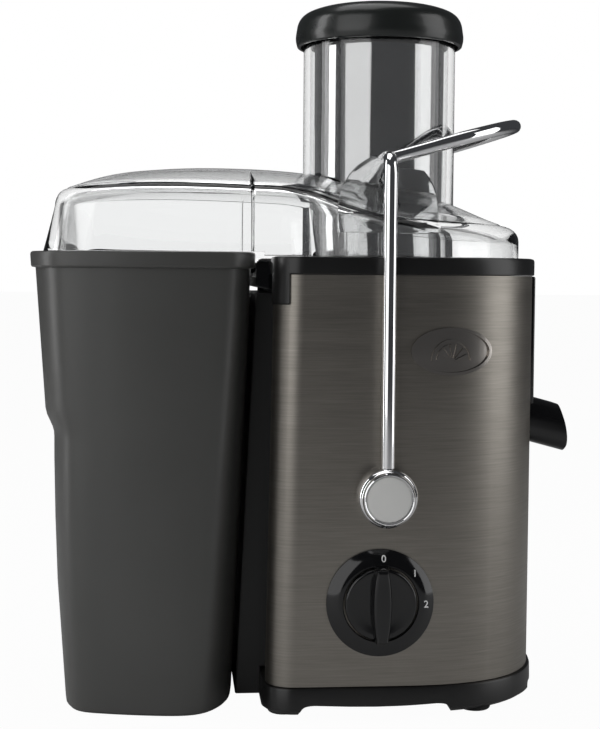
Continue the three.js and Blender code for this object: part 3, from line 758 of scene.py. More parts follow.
@dataclass(frozen=True)
class Perforated:
    """Fine stainless mesh: rows of small holes, as dark pits in satin steel."""

    name: str = "perforated_steel"
    pitch: float = 1100.0

    def make(self) -> Material:
        """Build the material."""
        made, nodes, shader = new_material(self.name)
        place = nodes.add("ShaderNodeTexCoord")
        holes = nodes.add("ShaderNodeTexVoronoi", Scale=self.pitch, Randomness=0.15)
        mask = nodes.add("ShaderNodeMapRange", From_Min=0.28, From_Max=0.36)
        color = nodes.add(
            "ShaderNodeMixRGB", blend_type="MIX", Color1=(0.02, 0.02, 0.02, 1),
            Color2=(0.6, 0.59, 0.57, 1),
        )
        bump = nodes.add("ShaderNodeBump", Strength=0.8, Distance=0.0002)
        nodes.wire(
            (place, "Object", holes, "Vector"), (holes, "Distance", mask, "Value"),
            (mask, "Result", color, "Fac"), (color, "Color", shader, "Base Color"),
            (mask, "Result", bump, "Height"), (bump, "Normal", shader, "Normal"),
        )
        put(shader, Metallic=1.0, Roughness=0.32)
        return made


class Finishes:
    """Every finish of the juicer, made once."""

    def __init__(self) -> None:
        """Build the materials."""
        self.steel = Metal("brushed_gunmetal", (0.27, 0.252, 0.225), 0.36, 1.0, 0.34, 1500.0, 0.4).make()
        self.emboss = Metal("badge_gunmetal", (0.4, 0.375, 0.35), 0.24, 0.4, 0.06).make()
        self.chrome = Metal("polished_chrome", (0.87, 0.87, 0.88), 0.045, 0.0, 0.01).make()
        self.machine_steel = Metal("machined_steel", (0.5, 0.5, 0.5), 0.35, 0.6, 0.15).make()
        self.copper = Metal("enamelled_copper", (0.7, 0.3, 0.15), 0.3, 0.8, 0.25, 2600.0).make()
        self.black = Moulded("satin_black", (0.007, 0.007, 0.007), 0.32).make()
        self.cap = Moulded("cap_black", (0.012, 0.014, 0.013), 0.27, variation=0.05, coat=0.2).make()
        self.gloss = Moulded(
            "gloss_black", (0.003, 0.003, 0.0035), 0.1, depth=0.000004, variation=0.02, coat=0.15,
        ).make()
        self.mirror = Metal("smoked_gloss", (0.42, 0.42, 0.42), 0.06, 0.0, 0.02).make()
        self.disc = Moulded("satin_disc", (0.72, 0.72, 0.70), 0.3, grain=3500.0).make()
        self.bin = Moulded("bin_grey", (0.066, 0.066, 0.063), 0.36, variation=0.06).make()
        self.shell = Moulded("shell_black", (0.014, 0.014, 0.014), 0.5, grain=1800.0).make()
        self.rubber = Moulded(
            "foot_rubber", (0.014, 0.014, 0.014), 0.78, grain=3000.0, depth=0.00005,
        ).make()
        self.nylon = Moulded("natural_nylon", (0.62, 0.6, 0.53), 0.45).make()
        self.carbon = Moulded("pressed_carbon", (0.02, 0.02, 0.022), 0.6, grain=4000.0).make()
        self.paint = Moulded("dial_print", (0.82, 0.82, 0.8), 0.5, depth=0.000002).make()
        self.clear = ClearPlastic().make()
        self.mesh = Perforated().make()


# ---------------------------------------------------------------- sub-assemblies


@dataclass
class HousingOutline:
    """The housing's plan: a broad oval right side and a flat left side with rounded corners."""

    roundness: float = 2.6
    corner: float = 13.0
    narrowing: float = 0.017
    arc_steps: int = 40
    corner_steps: int = 12

    def at(self, height: float, offset: float) -> list[Vector]:
        """The outline at a height.

        Args:
            height: in millimetres.
            offset: how far outwards of the steel, in millimetres.

        Returns:
            Points of a closed ring, in metres.
        """
        points = []
        power = 2 / self.roundness
        a = PLACES.half_width / MM + offset
        b = PLACES.half_depth / MM + offset
        left = -(PLACES.left / MM - (height - PLACES.panel_bottom / MM) * self.narrowing + offset)
        corner = max(self.corner + offset, 1.0)
        for i in range(-self.arc_steps, self.arc_steps + 1):
            angle = i / self.arc_steps * math.pi / 2
            c = max(math.cos(angle), 0.0) ** power
            s = math.copysign(abs(math.sin(angle)) ** power, angle)
            points.append((a * c, b * s))
        for side in (1, -1):
            for i in range(self.corner_steps + 1):
                step = i if side > 0 else self.corner_steps - i
                angle = step / self.corner_steps * math.pi / 2
                x = left + corner - corner * math.sin(angle)
                points.append((x, side * (b - corner + corner * math.cos(angle))))
        return [Vector((PLACES.axis.x + x * MM, y * MM, height * MM)) for x, y in points]

    def skin(self, name: str, levels: Sequence[tuple[float, float]]) -> Object:
        """A closed solid through (height, offset) levels."""
        return ringed(name, [self.at(height, offset) for height, offset in levels])


def box_tool(
    x0: float, x1: float, y0: float, y1: float, z0: float, z1: float, edge: float = 0.0,
) -> Object:
    """A cutting box in millimetres, X counted from the chute's axis."""
    shift = PLACES.axis.x / MM
    low = Vector((x0 + shift, y0, z0)) * MM
    high = Vector((x1 + shift, y1, z1)) * MM
    return block("tool", low, high, edge * MM)


@dataclass
class Base:
    """The black tray that the housing stands in, its legs, feet, screws and the gland for a lead."""

    outline: HousingOutline
    finishes: Finishes
    proud: float = 1.5
    leg_bottom: float = 2.2
    apron: float = 7.2
    top: float = 15.0
    leg_left: float = -44.0
    leg_right: float = 27.0
    leg_depth: float = 38.0

    def build(self) -> None:
        """Make and dress every piece."""
        self.tray()
        for corner in CORNERS:
            self.foot(corner)
            self.screw(corner)
        self.gland()

    def tray(self) -> None:
        """The tray: a proud band with an arched apron between four legs."""
        p = self.proud
        tray = self.outline.skin(
            "base_tray",
            [
                (self.leg_bottom, -1.5), (self.leg_bottom + 0.5, -0.6), (self.leg_bottom + 2.2, p + 0.2),
                (self.top - 1.2, p), (self.top - 0.3, p - 0.3), (self.top, p - 1.2),
            ],
        )
        cut(tray, self.outline.skin("tool", [(self.apron + 2.5, -2.5), (40, -2.5)]))
        middle = (self.leg_left + self.leg_right) / 2
        half = (self.leg_right - self.leg_left) / 2
        arch = [
            (-half - 1.5, -5.0), (-half, 1.5), (-half + 2.0, 4.2), (-half + 6.0, 4.9),
            (-0.35 * half, 4.2), (0.0, 4.0),
        ]
        arch = rounded(arch, 2.0, 4)
        ring = arch + [(-x, z) for x, z in reversed(arch[:-1])]
        centre = Vector((PLACES.axis.x + middle * MM, 0, self.leg_bottom * MM))
        cut(tray, prism("tool", ring, -200, 200, Way.BACK, centre))
        cut(tray, box_tool(-PAST, PAST, -self.leg_depth, self.leg_depth, -10, self.apron, 2.0))
        for i in range(5):
            y = (i - 2) * 8.0
            cut(tray, box_tool(-18, 18, y - 1.5, y + 1.5, 0, self.apron + 4, 1.0))
        for corner in CORNERS:
            low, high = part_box("rubber_foot_" + corner)
            middle = (low + high) / 2
            radius = (high.x - low.x) / 2 / MM + 0.4
            well = [(0, -5), (radius, -5), (radius, high.z / MM + 0.3), (0, high.z / MM + 0.3)]
            cut(tray, turned("tool", well, middle, segments=48))
            low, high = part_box("base_screw_" + corner)
            cut(tray, drill(2.2, -5, 30, (low + high) / 2, segments=24))
        tidy_mesh(tray)
        fit(tray, self.finishes.black, "black_plastic", Body.HOUSING, "base_cover")

    def foot(self, corner: str) -> None:
        """A rubber foot with a rounded tread and a shallow ring groove under it."""
        low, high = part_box("rubber_foot_" + corner)
        radius = (high.x - low.x) / 2 / MM
        top = high.z / MM
        profile = [
            (0, 0.5), (radius - 4, 0.5), (radius - 3.4, 0), (radius - 0.8, 0), (radius, 0.9),
            (radius, top), (0, top),
        ]
        foot = turned("foot_" + corner, rounded(profile, 0.4, 3), (low + high) / 2, segments=48)
        fit(foot, self.finishes.rubber, "rubber", Body.HOUSING, "rubber_foot_" + corner)

    def screw(self, corner: str) -> None:
        """A pan-head screw with a cross recess."""
        node = "base_screw_" + corner
        low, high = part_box(node)
        centre = (low + high) / 2
        bottom = low.z / MM
        profile = [
            (0, bottom), (2.4, bottom), (3.6, bottom + 1), (3.6, bottom + 2.2), (1.8, bottom + 2.2),
            (1.8, 26), (0, 27),
        ]
        screw = turned("screw_" + corner, rounded(profile, 0.4, 3), centre, segments=32)
        for turn in (0, math.pi / 2):
            slot = block("tool", Vector((-0.0021, -0.0004, -0.001)), Vector((0.0021, 0.0004, 0.0012)))
            spun(slot, turn, Vector())
            cut(screw, shifted(slot, Vector((centre.x, centre.y, low.z))))
        fit(screw, self.finishes.machine_steel, "satin_steel", Body.HOUSING, node)

    def gland(self) -> None:
        """The ribbed sleeve where the lead would leave the rear."""
        low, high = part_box("cord_gland")
        centre = (low + high) / 2
        y0 = low.y / MM
        y1 = high.y / MM
        profile = [(3.8, y0), (7.4, y0)]
        ribs = 4
        for i in range(ribs):
            start = y0 + 3 + i * (y1 - y0 - 4) / ribs
            radius = 7.2 - 0.35 * i
            profile += [
                (radius, start), (radius - 1.0, start + 0.5), (radius - 1.0, start + 1.2),
                (radius - 0.2, start + 1.6),
            ]
        profile += [(5.8, y1), (3.8, y1), (3.8, y0)]
        gland = turned("lead_gland", profile, centre, Way.BACK, 48)
        fit(gland, self.finishes.rubber, "rubber", Body.HOUSING, "cord_gland")


@dataclass
class Housing:
    """The plastic shell, the steel panel round it, the top rim and the badge."""

    outline: HousingOutline
    finishes: Finishes
    steel: float = 0.8
    wall: float = 2.5
    spout_half: float = 17.5
    spout_low: float = 117.0
    lip_half: float = 46.0
    deck_low: float = 112.0
    deck_high: float = 115.0
    shaft_hole: float = 12.2
    screw_hole: float = 2.2
    seat_half: float = 36.0
    well_radius: float = 66.3

    def build(self) -> None:
        """Make and dress every piece."""
        self.panel()
        self.shell()
        self.rim()
        self.badge()

    def openings(self, spout_margin: float, hub: float, knob: float) -> list[Object]:
        """The holes that steel and shell share: spout slot, arm pivots and dial."""
        half = self.spout_half + spout_margin
        top = PLACES.panel_top / MM
        slot = box_tool(50, PAST, -half, half, self.spout_low - spout_margin, top + 20, 3.0)
        pivot = drill(hub, -300, 300, PLACES.pivot, Way.FRONT, 40)
        dial = drill(knob, 40, 300, PLACES.knob, Way.FRONT, 40)
        return [slot, pivot, dial]

    def left_opening(self) -> list[Object]:
        """What the panel leaves out on the left: the flat side and the two rim tabs."""
        return [
            box_tool(-PAST, -50, -55, 55, -50, ABOVE),
            box_tool(-PAST, -49.3, -PAST, PAST, 191.6, ABOVE),
        ]

    def panel(self) -> None:
        """The brushed steel wrap, thin, with turned-in edges."""
        low = PLACES.panel_bottom / MM
        high = PLACES.panel_top / MM
        panel = self.outline.skin("steel_wrap", [(low, 0), (high, 0)])
        cut(panel, self.outline.skin("tool", [(low - 5, -self.steel), (high + 5, -self.steel)]))
        cut(panel, *self.left_opening(), *self.openings(2.0, 5, 6))
        tidy_mesh(panel)
        bevel(panel, 0.00025, 2, 50)
        fit(panel, self.finishes.steel, "brushed_steel", Body.HOUSING, "steel_panel")

    def shell(self) -> None:
        """The inner shell, which shows as the dark left side, with its deck over the motor."""
        low = PLACES.panel_bottom / MM
        high = PLACES.panel_top / MM
        inset = self.steel + 0.4
        shell = self.outline.skin("inner_shell", [(low, -inset), (high, -inset)])
        inner = inset + self.wall
        cut(shell, self.outline.skin("tool", [(low - 5, -inner), (self.deck_low, -inner)]))
        cut(shell, self.outline.skin("tool", [(self.deck_high, -inner), (high + 5, -inner)]))
        cut(
            shell,
            drill(self.shaft_hole, self.deck_low - 12, self.deck_high + 10, PLACES.axis, segments=40),
        )
        half = self.lip_half
        cut(shell, box_tool(-PAST, -40, -half, half, 197, ABOVE))
        cut(
            shell, box_tool(-PAST, -49, -PAST, -40, 190, ABOVE),
            box_tool(-PAST, -49, 40, PAST, 190, ABOVE),
        )
        cut(shell, *self.openings(0.3, 4.6, 5.5))
        for corner in CORNERS:
            a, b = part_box("motor_screw_" + corner)
            cut(
                shell,
                drill(self.screw_hole, self.deck_low - 12, self.deck_high + 10, (a + b) / 2, segments=24),
            )
        unite(shell, self.seat())
        tidy_mesh(shell)
        bevel(shell, 0.0004, 2, 50)
        fit(shell, self.finishes.shell, "shell_plastic", Body.HOUSING, "housing_shell")

    def seat(self) -> Object:
        """The hollow seat that follows the slant of the bin's wall."""
        outside = [(-56.5, 16), (-59.6, 16), (-59.6, 3), (-72, 3), (-63.1, 196.3), (-53.4, 196.3)]
        hollow = [(-59.5, 20), (-62.5, 20), (-62.5, -5), (-69.6, -5), (-61, 187.5), (-57, 187.5)]
        seat = prism("seat", outside, -self.seat_half, self.seat_half, Way.BACK, PLACES.axis)
        inner = self.seat_half - self.wall
        cut(seat, prism("tool", hollow, -inner, inner, Way.BACK, PLACES.axis))
        return bevel(seat, 0.0008, 2)

    def rim(self) -> None:
        """The black band round the top, with a tab at each left corner."""
        low = PLACES.panel_top / MM + 0.05
        high = PLACES.rim_top / MM
        rim = self.outline.skin(
            "rim_band",
            [(low, 0.4), (low + 0.5, 1.0), (high - 1.4, 1.0), (high - 0.4, 0.6), (high, -0.6)],
        )
        tabs = self.outline.skin("tabs", [(191, 0.5), (191.6, 1.0), (high - 1.4, 1.0), (high - 0.6, 0.6)])
        cut(tabs, self.outline.skin("tool", [(180, -6), (high + 5, -6)]))
        cut(tabs, box_tool(-49.5, PAST, -PAST, PAST, 0, ABOVE), box_tool(-PAST, PAST, -57, 57, 0, ABOVE))
        bevel(tabs, 0.0006, 2, 50)
        unite(rim, tabs)
        well = drill(self.well_radius, 150, 250, PLACES.axis, segments=FINE)
        boolean(well, box_tool(-51.9, PAST, -PAST, PAST, 0, ABOVE), "INTERSECT")
        cut(rim, well)
        cut(rim, box_tool(-PAST, -40, -self.lip_half, self.lip_half, 0, ABOVE))
        tidy_mesh(rim)
        fit(rim, self.finishes.black, "black_plastic", Body.HOUSING, "top_rim")

    def badge(self) -> None:
        """An oval badge that follows the panel, with a raised rim and a citrus slice."""
        low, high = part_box("badge")
        centre = (low + high) / 2
        half_x = (high.x - low.x) / 2 / MM
        half_z = (high.z - low.z) / 2 / MM
        steps = 72
        oval = [
            (half_x * math.cos(2 * math.pi * i / steps), half_z * math.sin(2 * math.pi * i / steps))
            for i in range(steps)
        ]
        plate = prism("badge_plate", oval, 40, 90, Way.FRONT, centre)
        inside = prism("tool", grow(oval, -1.4), 30, 95, Way.FRONT, centre)
        rim = copy_of(plate, "badge_rim")
        cut(rim, inside)
        segments = []
        sunk = -4.2
        slices = 7
        gap = 0.08
        for i in range(slices):
            a = math.pi * (i + gap) / slices
            b = math.pi * (i + 1 - gap) / slices
            tip = [(1.4 * math.cos((a + b) / 2), 1.4 * math.sin((a + b) / 2) + sunk)]
            wedge = tip + arc_of(7.6, a, b, 4, sunk)
            segments.append(prism("slice", wedge, 40, 90, Way.FRONT, centre))
        inner_arc = arc_of(8.7, 0, math.pi, 24, sunk)
        arc = arc_of(9.9, 0, math.pi, 24, sunk) + inner_arc[::-1]
        segments.append(prism("peel", arc, 40, 90, Way.FRONT, centre))
        raised = joined("raised", [rim, *segments])
        z0 = low.z / MM - 5
        z1 = high.z / MM + 5
        for obj, proud in ((plate, 0.4), (raised, 1.3)):
            layer = self.outline.skin("layer", [(z0, proud), (z1, proud)])
            cut(layer, self.outline.skin("tool", [(z0 - 5, 0.12), (z1 + 5, 0.12)]))
            boolean(obj, layer, "INTERSECT")
        badge = joined("citrus_badge", [plate, raised])
        tidy_mesh(badge)
        fit(badge, self.finishes.emboss, "brushed_steel", Body.HOUSING, "badge")


@dataclass
class Bowl:
    """The juice bowl with its spout, slot plate and pulp lip."""

    finishes: Finishes
    radius: float = 65.8
    wall: float = 2.5
    left: float = -51.4
    bottom: float = 118.3
    tube: float = 13.0
    spout_width: float = 30.0
    spout_height: float = 22.0
    slope: float = 15.0
    root: float = 62.0
    root_height: float = 137.0
    lip_half: float = 45.0

    def build(self) -> None:
        """Make and dress the bowl."""
        top = PLACES.rim_top / MM
        inner = self.radius - self.wall
        floor = self.bottom + 3
        bowl = self.cup("bowl", self.radius, self.bottom, top, self.left)
        plate = box_tool(60, 77.3, -15.5, 15.5, 141, 204.5, 1.0)
        lip_outline = [(-50, 211), (-63.5, 203.5), (-63.5, 199), (-57, 197.6), (-50, 203)]
        lip = prism("lip", lip_outline, -self.lip_half, self.lip_half, Way.BACK, PLACES.axis, 0.6)
        unite(bowl, plate, self.duct("spout", 0, 0, 36), lip)
        for side in Side:
            y = (self.lip_half - 1) * side.value
            cheek = [(-50, 211), (-63.2, 211), (-63.4, 199), (-57, 197.6), (-50, 199)]
            unite(bowl, prism("cheek", cheek, y - 1, y + 1, Way.BACK, PLACES.axis, 0.3))
        cut(bowl, self.cup("tool", inner, floor, top + 20, self.left + self.wall))
        cut(bowl, self.duct("tool", 2.2, -6, 60))
        post = [
            (0, self.bottom), (self.tube + 2.5, self.bottom), (self.tube + 2.5, 135.2),
            (self.tube + 1.7, 136), (0, 136),
        ]
        unite(bowl, turned("post", post, PLACES.axis, segments=64))
        cut(bowl, drill(self.tube, 100, 200, PLACES.axis, segments=64))
        cut(bowl, box_tool(-PAST, -30, -self.lip_half, self.lip_half, 209, 300))
        cut(bowl, self.tip_tool())
        tidy_mesh(bowl)
        bevel(bowl, 0.0004, 2, 50)
        fit(bowl, self.finishes.gloss, "gloss_black", Body.HOUSING, "juice_bowl")

    def cup(self, name: str, radius: float, bottom: float, top: float, left: float) -> Object:
        """A cup form, cut flat on its left."""
        profile = rounded([(0, bottom), (radius, bottom), (radius, top), (0, top)], [6.0, 0.3], 6)
        cup = turned(name, profile, PLACES.axis, segments=FINE)
        return boolean(cup, box_tool(left, PAST, -PAST, PAST, 0, ABOVE), "INTERSECT")

    def duct(self, name: str, shrink: float, start: float, end: float) -> Object:
        """A sloping rounded duct from the bowl's right wall."""
        w = self.spout_width / 2 - shrink
        h = self.spout_height / 2 - shrink
        r = 8.0 - shrink
        outline = []
        for cx, cy, first in ((w - r, h - r, 0), (r - w, h - r, 1), (r - w, r - h, 2), (w - r, r - h, 3)):
            for i in range(9):
                turn = math.pi / 2 * (first + i / 8)
                outline.append((cx + r * math.cos(turn), cy + r * math.sin(turn)))
        duct = prism(name, outline, start, end, Way.RIGHT, Vector())
        origin = Vector((PLACES.axis.x + self.root * MM, 0, self.root_height * MM))
        duct.data.transform(
            Matrix.Translation(origin) @ Matrix.Rotation(math.radians(self.slope), 4, "Y")
        )
        return duct

    def tip_tool(self) -> Object:
        """What the spout's curved, slanting mouth is cut with."""
        mouth = rounded(
            [(90.0, 170), (91.0, 140), (95.0, 127), (94.0, 100), (200, 100), (200, 170)],
            [8, 8, 0.1, 0.1], 6,
        )
        return prism("tool", mouth, -100, 100, Way.BACK, PLACES.axis)


@dataclass
class Lid:
    """The clear lid: a dome over the bowl, a tunnel over the bin, the chute and the latch fins."""

    finishes: Finishes
    wall: float = 2.3
    radius: float = 70.0
    crown: tuple[Point2, ...] = (
        (-166, 243), (-150, 250), (-130, 253.5), (-87, 256.5), (-38, 254.5), (37, 244), (62, 235.5),
        (70, 231),
    )
    ridge: tuple[Point2, ...] = (
        (-166, 241), (-150, 244.5), (-112, 247), (-60, 246), (-42, 244.5), (-30, 240.5), (-20, 236.5),
        (-6, 232.5), (14, 230.5), (70, 228.5),
    )
    spine: Point2 = (-115, 0)
    fin_y: float = 64.0
    chute_outer: float = 37.5
    chute_bore: float = 34.3

    def half(self, half_width: float, left: float, corner: float) -> list[Point2]:
        """Half of the plan outline, from the right end round to the left end."""
        points = []
        step = 2.2
        turn = math.pi - math.asin((half_width + step) / self.radius)
        arcs = 44
        for i in range(arcs + 1):
            angle = i / arcs * turn
            points.append((self.radius * math.cos(angle), self.radius * math.sin(angle)))
        start = points[-1][0]
        for i in range(1, 6):
            x = start + (-64.5 - start) * i / 5
            points.append((x, half_width + step - 0.04 * (start - x)))
        for i in range(7):
            t = i / 6
            points.append((-64.8 - 1.4 * t, half_width + step * (1 - t * t * (3 - 2 * t)) - 0.4))
        end_half = half_width - 5
        stretch = 12
        x0 = -67.5
        x1 = left + corner
        for i in range(stretch):
            t = i / stretch
            points.append((x0 + (x1 - x0) * t, half_width - 0.5 - (half_width - 0.5 - end_half) * t * t))
        for i in range(13):
            angle = i / 12 * math.pi / 2
            points.append(
                (left + corner - corner * math.sin(angle), end_half - corner + corner * math.cos(angle))
            )
        rest = end_half - corner
        for i in range(1, 7):
            t = i / 6
            points.append((left - 1.5 * math.sin(t * math.pi / 2), rest * (1 - t)))
        return points

    def outline(self, half_width: float, left: float, corner: float, shrink: float) -> list[Point2]:
        """The whole plan outline, drawn in towards the spine by the wall."""
        half = self.half(half_width, left, corner)
        whole = half + [(x, -y) for x, y in reversed(half[1:-1])]
        result = []
        for x, y in whole:
            middle = min(max(x, self.spine[0]), self.spine[1])
            away = Vector((x - middle, y))
            away *= (away.length - shrink) / away.length
            result.append((middle + away.x, away.y))
        return result

    def form(self, name: str, shrink: float, bottom: float) -> Object:
        """The lid's outer form, or its hollow when shrunk by the wall."""
        foot = self.outline(57.5, -163.3, 22, shrink)
        edge = self.outline(55.5, -157.5, 22, shrink)

        def level(
            plan: Sequence[Point2], inward: float, height: Callable[[float], float],
        ) -> list[Vector]:
            """One ring of the lid."""
            ring = []
            for x, y in plan:
                middle = min(max(x, self.spine[0]), self.spine[1])
                px = middle + (x - middle) * inward
                ring.append(
                    Vector((PLACES.axis.x + px * MM, y * inward * MM, (height(px) - shrink) * MM))
                )
            return ring

        def mix(share: float, drop: float = 0.0) -> Callable[[float], float]:
            """A height between ridge and crown."""
            def height(x: float) -> float:
                """The height at a place along the lid."""
                low = smooth_along(self.ridge, x)
                return low + (smooth_along(self.crown, x) - low) * share - drop
            return height

        rings = [level(foot, 1, lambda x: bottom + shrink)]
        for t in (0.33, 0.66):
            blend = [(a[0] + (b[0] - a[0]) * t, a[1] + (b[1] - a[1]) * t) for a, b in zip(foot, edge)]
            rings.append(
                level(blend, 1, lambda x, t=t: bottom + shrink + (mix(0, 7)(x) - bottom - shrink) * t)
            )
        fillet = 7.0
        for i in range(7):
            turn = i / 6 * math.pi / 2
            inward = 1 - fillet * (1 - math.cos(turn)) / 60
            rings.append(level(edge, inward, mix(0.0, fillet * (1 - math.sin(turn)))))
        for inward in (0.86, 0.8, 0.73, 0.66, 0.58, 0.5, 0.42, 0.34, 0.26, 0.18, 0.1, 0.03):
            rings.append(level(edge, inward, mix(1 - (inward / 0.9167) ** 2)))
        return ringed(name, rings, 40)

    def fin(self, y: float) -> Object:
        """A clear latch fin with a notch for the arm."""
        bar_x = -5
        bar_z = 258
        bar_seat = 3.9
        pivot_z = 104
        arc = []
        steps = 20
        for i in range(steps + 1):
            turn = math.pi - i / steps * math.pi
            arc.append((-4.1 + 23.2 * math.cos(turn), 234 + 26 * math.sin(turn)))
        lip = [(x, z) for x, z in arc if x < -9.2]
        notch = []
        for i in range(9):
            turn = math.pi * (1 + 0.5 * i / 8)
            notch.append((bar_x + bar_seat * math.cos(turn), bar_z + bar_seat * math.sin(turn)))
        right = [(x, z) for x, z in arc if x > -1.0]
        safe = 149.6
        tail = []
        for x, z in right:
            reach = math.hypot(x - bar_x, z - pivot_z)
            share = min(1.0, safe / reach)
            tail.append((bar_x + (x - bar_x) * share, pivot_z + (z - pivot_z) * share))
        outline = [(-27.4, 224)] + lip + notch + tail + [(19, 224)]
        return prism("fin", outline, y - 1.5, y + 1.5, Way.BACK, PLACES.axis, 0.4)

    def build(self) -> None:
        """Make and dress the lid."""
        low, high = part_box("lid")
        chute_top = high.z / MM
        chute_bottom = low.z / MM
        base = PLACES.rim_top / MM + 0.3
        lid = self.form("lid_shell", 0, base)
        cut(lid, self.form("tool", self.wall, base - 30))
        outer = self.chute_outer
        chute = [
            (0, chute_bottom), (outer, chute_bottom), (outer, chute_top - 0.6), (outer - 0.6, chute_top),
            (0, chute_top),
        ]
        unite(lid, turned("chute", chute, PLACES.axis, segments=FINE))
        for side in Side:
            unite(lid, self.fin(self.fin_y * side.value))
        cut(lid, drill(self.chute_bore, 100, ABOVE, PLACES.axis, segments=FINE))
        cut(lid, box_tool(-300, -60, -PAST, PAST, 0, 215.1))
        tidy_mesh(lid, 28)
        fit(lid, self.finishes.clear, "clear_plastic", Body.HOUSING, "lid")


@dataclass
class Pusher:
    """The pusher: a hollow gloss tube and its broad cap."""

    finishes: Finishes
    wall: float = 2.5
    skirt: float = 317.0

    def build(self) -> None:
        """Make and dress both pieces."""
        low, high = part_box("pusher_tube")
        radius = (high.x - low.x) / 2 / MM
        bottom = low.z / MM
        top = high.z / MM
        inner = radius - self.wall
        profile = [
            (0, bottom), (radius, bottom), (radius, top), (inner, top), (inner, bottom + 3),
            (0, bottom + 3),
        ]
        tube = turned(
            "pusher_barrel", rounded(profile, [2.5, 0.3, 0.3, 1.5], 5), PLACES.axis, segments=FINE,
        )
        fit(tube, self.finishes.mirror, "gloss_black", Body.PUSHER, "pusher_tube")
        low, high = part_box("pusher_cap")
        rim = (high.x - low.x) / 2 / MM
        top = high.z / MM
        skirt = self.skirt
        plug = [
            (0, 321), (26.6, 321), (26.6, 312.2), (29.1, 312.2), (29.1, 320.8), (39, 320.8), (39, skirt),
        ]
        outside = rounded(
            [
                (39, skirt), (rim - 1.0, skirt), (rim, 321), (rim - 1.6, 331.5), (rim - 12, 335.6),
                (0, top),
            ],
            [0.8, 3, 8, 14], 8,
        )
        cap = turned("pusher_knob", plug + outside[1:], PLACES.axis, segments=FINE)
        fit(cap, self.finishes.cap, "cap_plastic", Body.PUSHER, "pusher_cap")


@dataclass
class PulpBin:
    """The tall pulp bin with its rolled rim, hand grip and the notch for the pulp lip."""

    finishes: Finishes
    foot: tuple[Point2, ...] = (
        (-75, 38), (-81, 54), (-88, 62), (-97, 65), (-131, 60), (-146, 54), (-151.5, 42), (-152, 20),
    )
    mouth: tuple[Point2, ...] = (
        (-65, 42), (-68, 56), (-75, 62.5), (-90, 64.5), (-132, 62.5), (-155, 56), (-165.5, 40),
        (-167, 20),
    )
    rim_bottom: float = 207.3
    rim_top: float = 214.8
    middle: float = -114.0

    def ring(self, height: float, offset: float, grip: float = 0.0) -> list[Vector]:
        """The outline at a height, moved out by an offset and drawn in on its left by the grip."""
        share = height / self.rim_top
        half = [
            (
                a[0] + (b[0] - a[0]) * share, a[1] + (b[1] - a[1]) * share,
            ) for a, b in zip(self.foot, self.mouth)
        ]
        whole = half + [(x, -y) for x, y in reversed(half)]
        dense = closed_spline(whole, 10)
        result = []
        for x, y in dense:
            away = Vector((x - self.middle, y))
            away *= (away.length + offset) / away.length
            if away.x < 0:
                away.x += grip * min(1.0, max(0.0, (-away.x - 25) / 22))
            result.append(Vector((PLACES.axis.x + (self.middle + away.x) * MM, away.y * MM, height * MM)))
        return result

    def build(self) -> None:
        """Make and dress the bin."""
        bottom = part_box("pulp_bin")[0].z / MM
        wall = 2.0
        outside = [
            (bottom, -3.0, 0), (bottom + 0.3, -1.6, 0), (bottom + 1.6, -0.2, 0), (bottom + 4, 0, 0),
            (60, 0, 0), (90, 0, 1.2),
            (118, 0, 2.6), (128, 0, 3.2), (130.5, 0, 3.2), (133, 0, 2.6), (138.5, 0, 0.5), (141.5, 0, 0),
            (170, 0, 0),
            (self.rim_bottom - 0.2, 0, 0), (self.rim_bottom, 0.3, 0), (self.rim_bottom + 0.2, 1.8, 0),
            (self.rim_bottom + 0.8, 2.3, 0), (self.rim_top - 1.4, 2.3, 0), (self.rim_top - 0.4, 1.9, 0),
            (self.rim_top, 1.0, 0),
        ]
        inside = [
            (self.rim_top, -wall, 0), (170, -wall, 0), (141.5, -wall, 0), (133, -wall, 2.6),
            (128, -wall, 3.2), (90, -wall, 1.2),
            (60, -wall, 0), (bottom + 4, -wall, 0), (bottom + 2.4, -wall - 1.5, 0),
            (bottom + 2, -wall - 4, 0),
        ]
        rings = [self.ring(z, offset, grip) for z, offset, grip in outside + inside]
        shell = ringed("pulp_bin_shell", rings, 35)
        cut(shell, box_tool(-90, 0, -46.5, 46.5, 196, 300, 2.0))
        tidy_mesh(shell, 35)
        fit(shell, self.finishes.bin, "bin_plastic", Body.BIN, "pulp_bin")


def closed_spline(points: Sequence[Point2], steps: int) -> list[Point2]:
    """A smooth closed curve through points, with the given steps between neighbours."""
    count = len(points)
    result = []
    for i in range(count):
        p0, p1, p2, p3 = (Vector(points[(i + k) % count]) for k in (-1, 0, 1, 2))
        d1 = max((p1 - p0).length, 1e-6) ** 0.5
        d2 = max((p2 - p1).length, 1e-6) ** 0.5
        d3 = max((p3 - p2).length, 1e-6) ** 0.5
        m1 = ((p1 - p0) / d1 - (p2 - p0) / (d1 + d2) + (p2 - p1) / d2) * d2
        m2 = ((p2 - p1) / d2 - (p3 - p1) / (d2 + d3) + (p3 - p2) / d3) * d2
        for k in range(steps):
            t = k / steps
            point = (
                p1 * (1 + 2 * t) * (1 - t) ** 2 + m1 * t * (1 - t) ** 2
                + p2 * t * t * (3 - 2 * t) - m2 * t * t * (1 - t)
            )
            result.append((point.x, point.y))
    return result


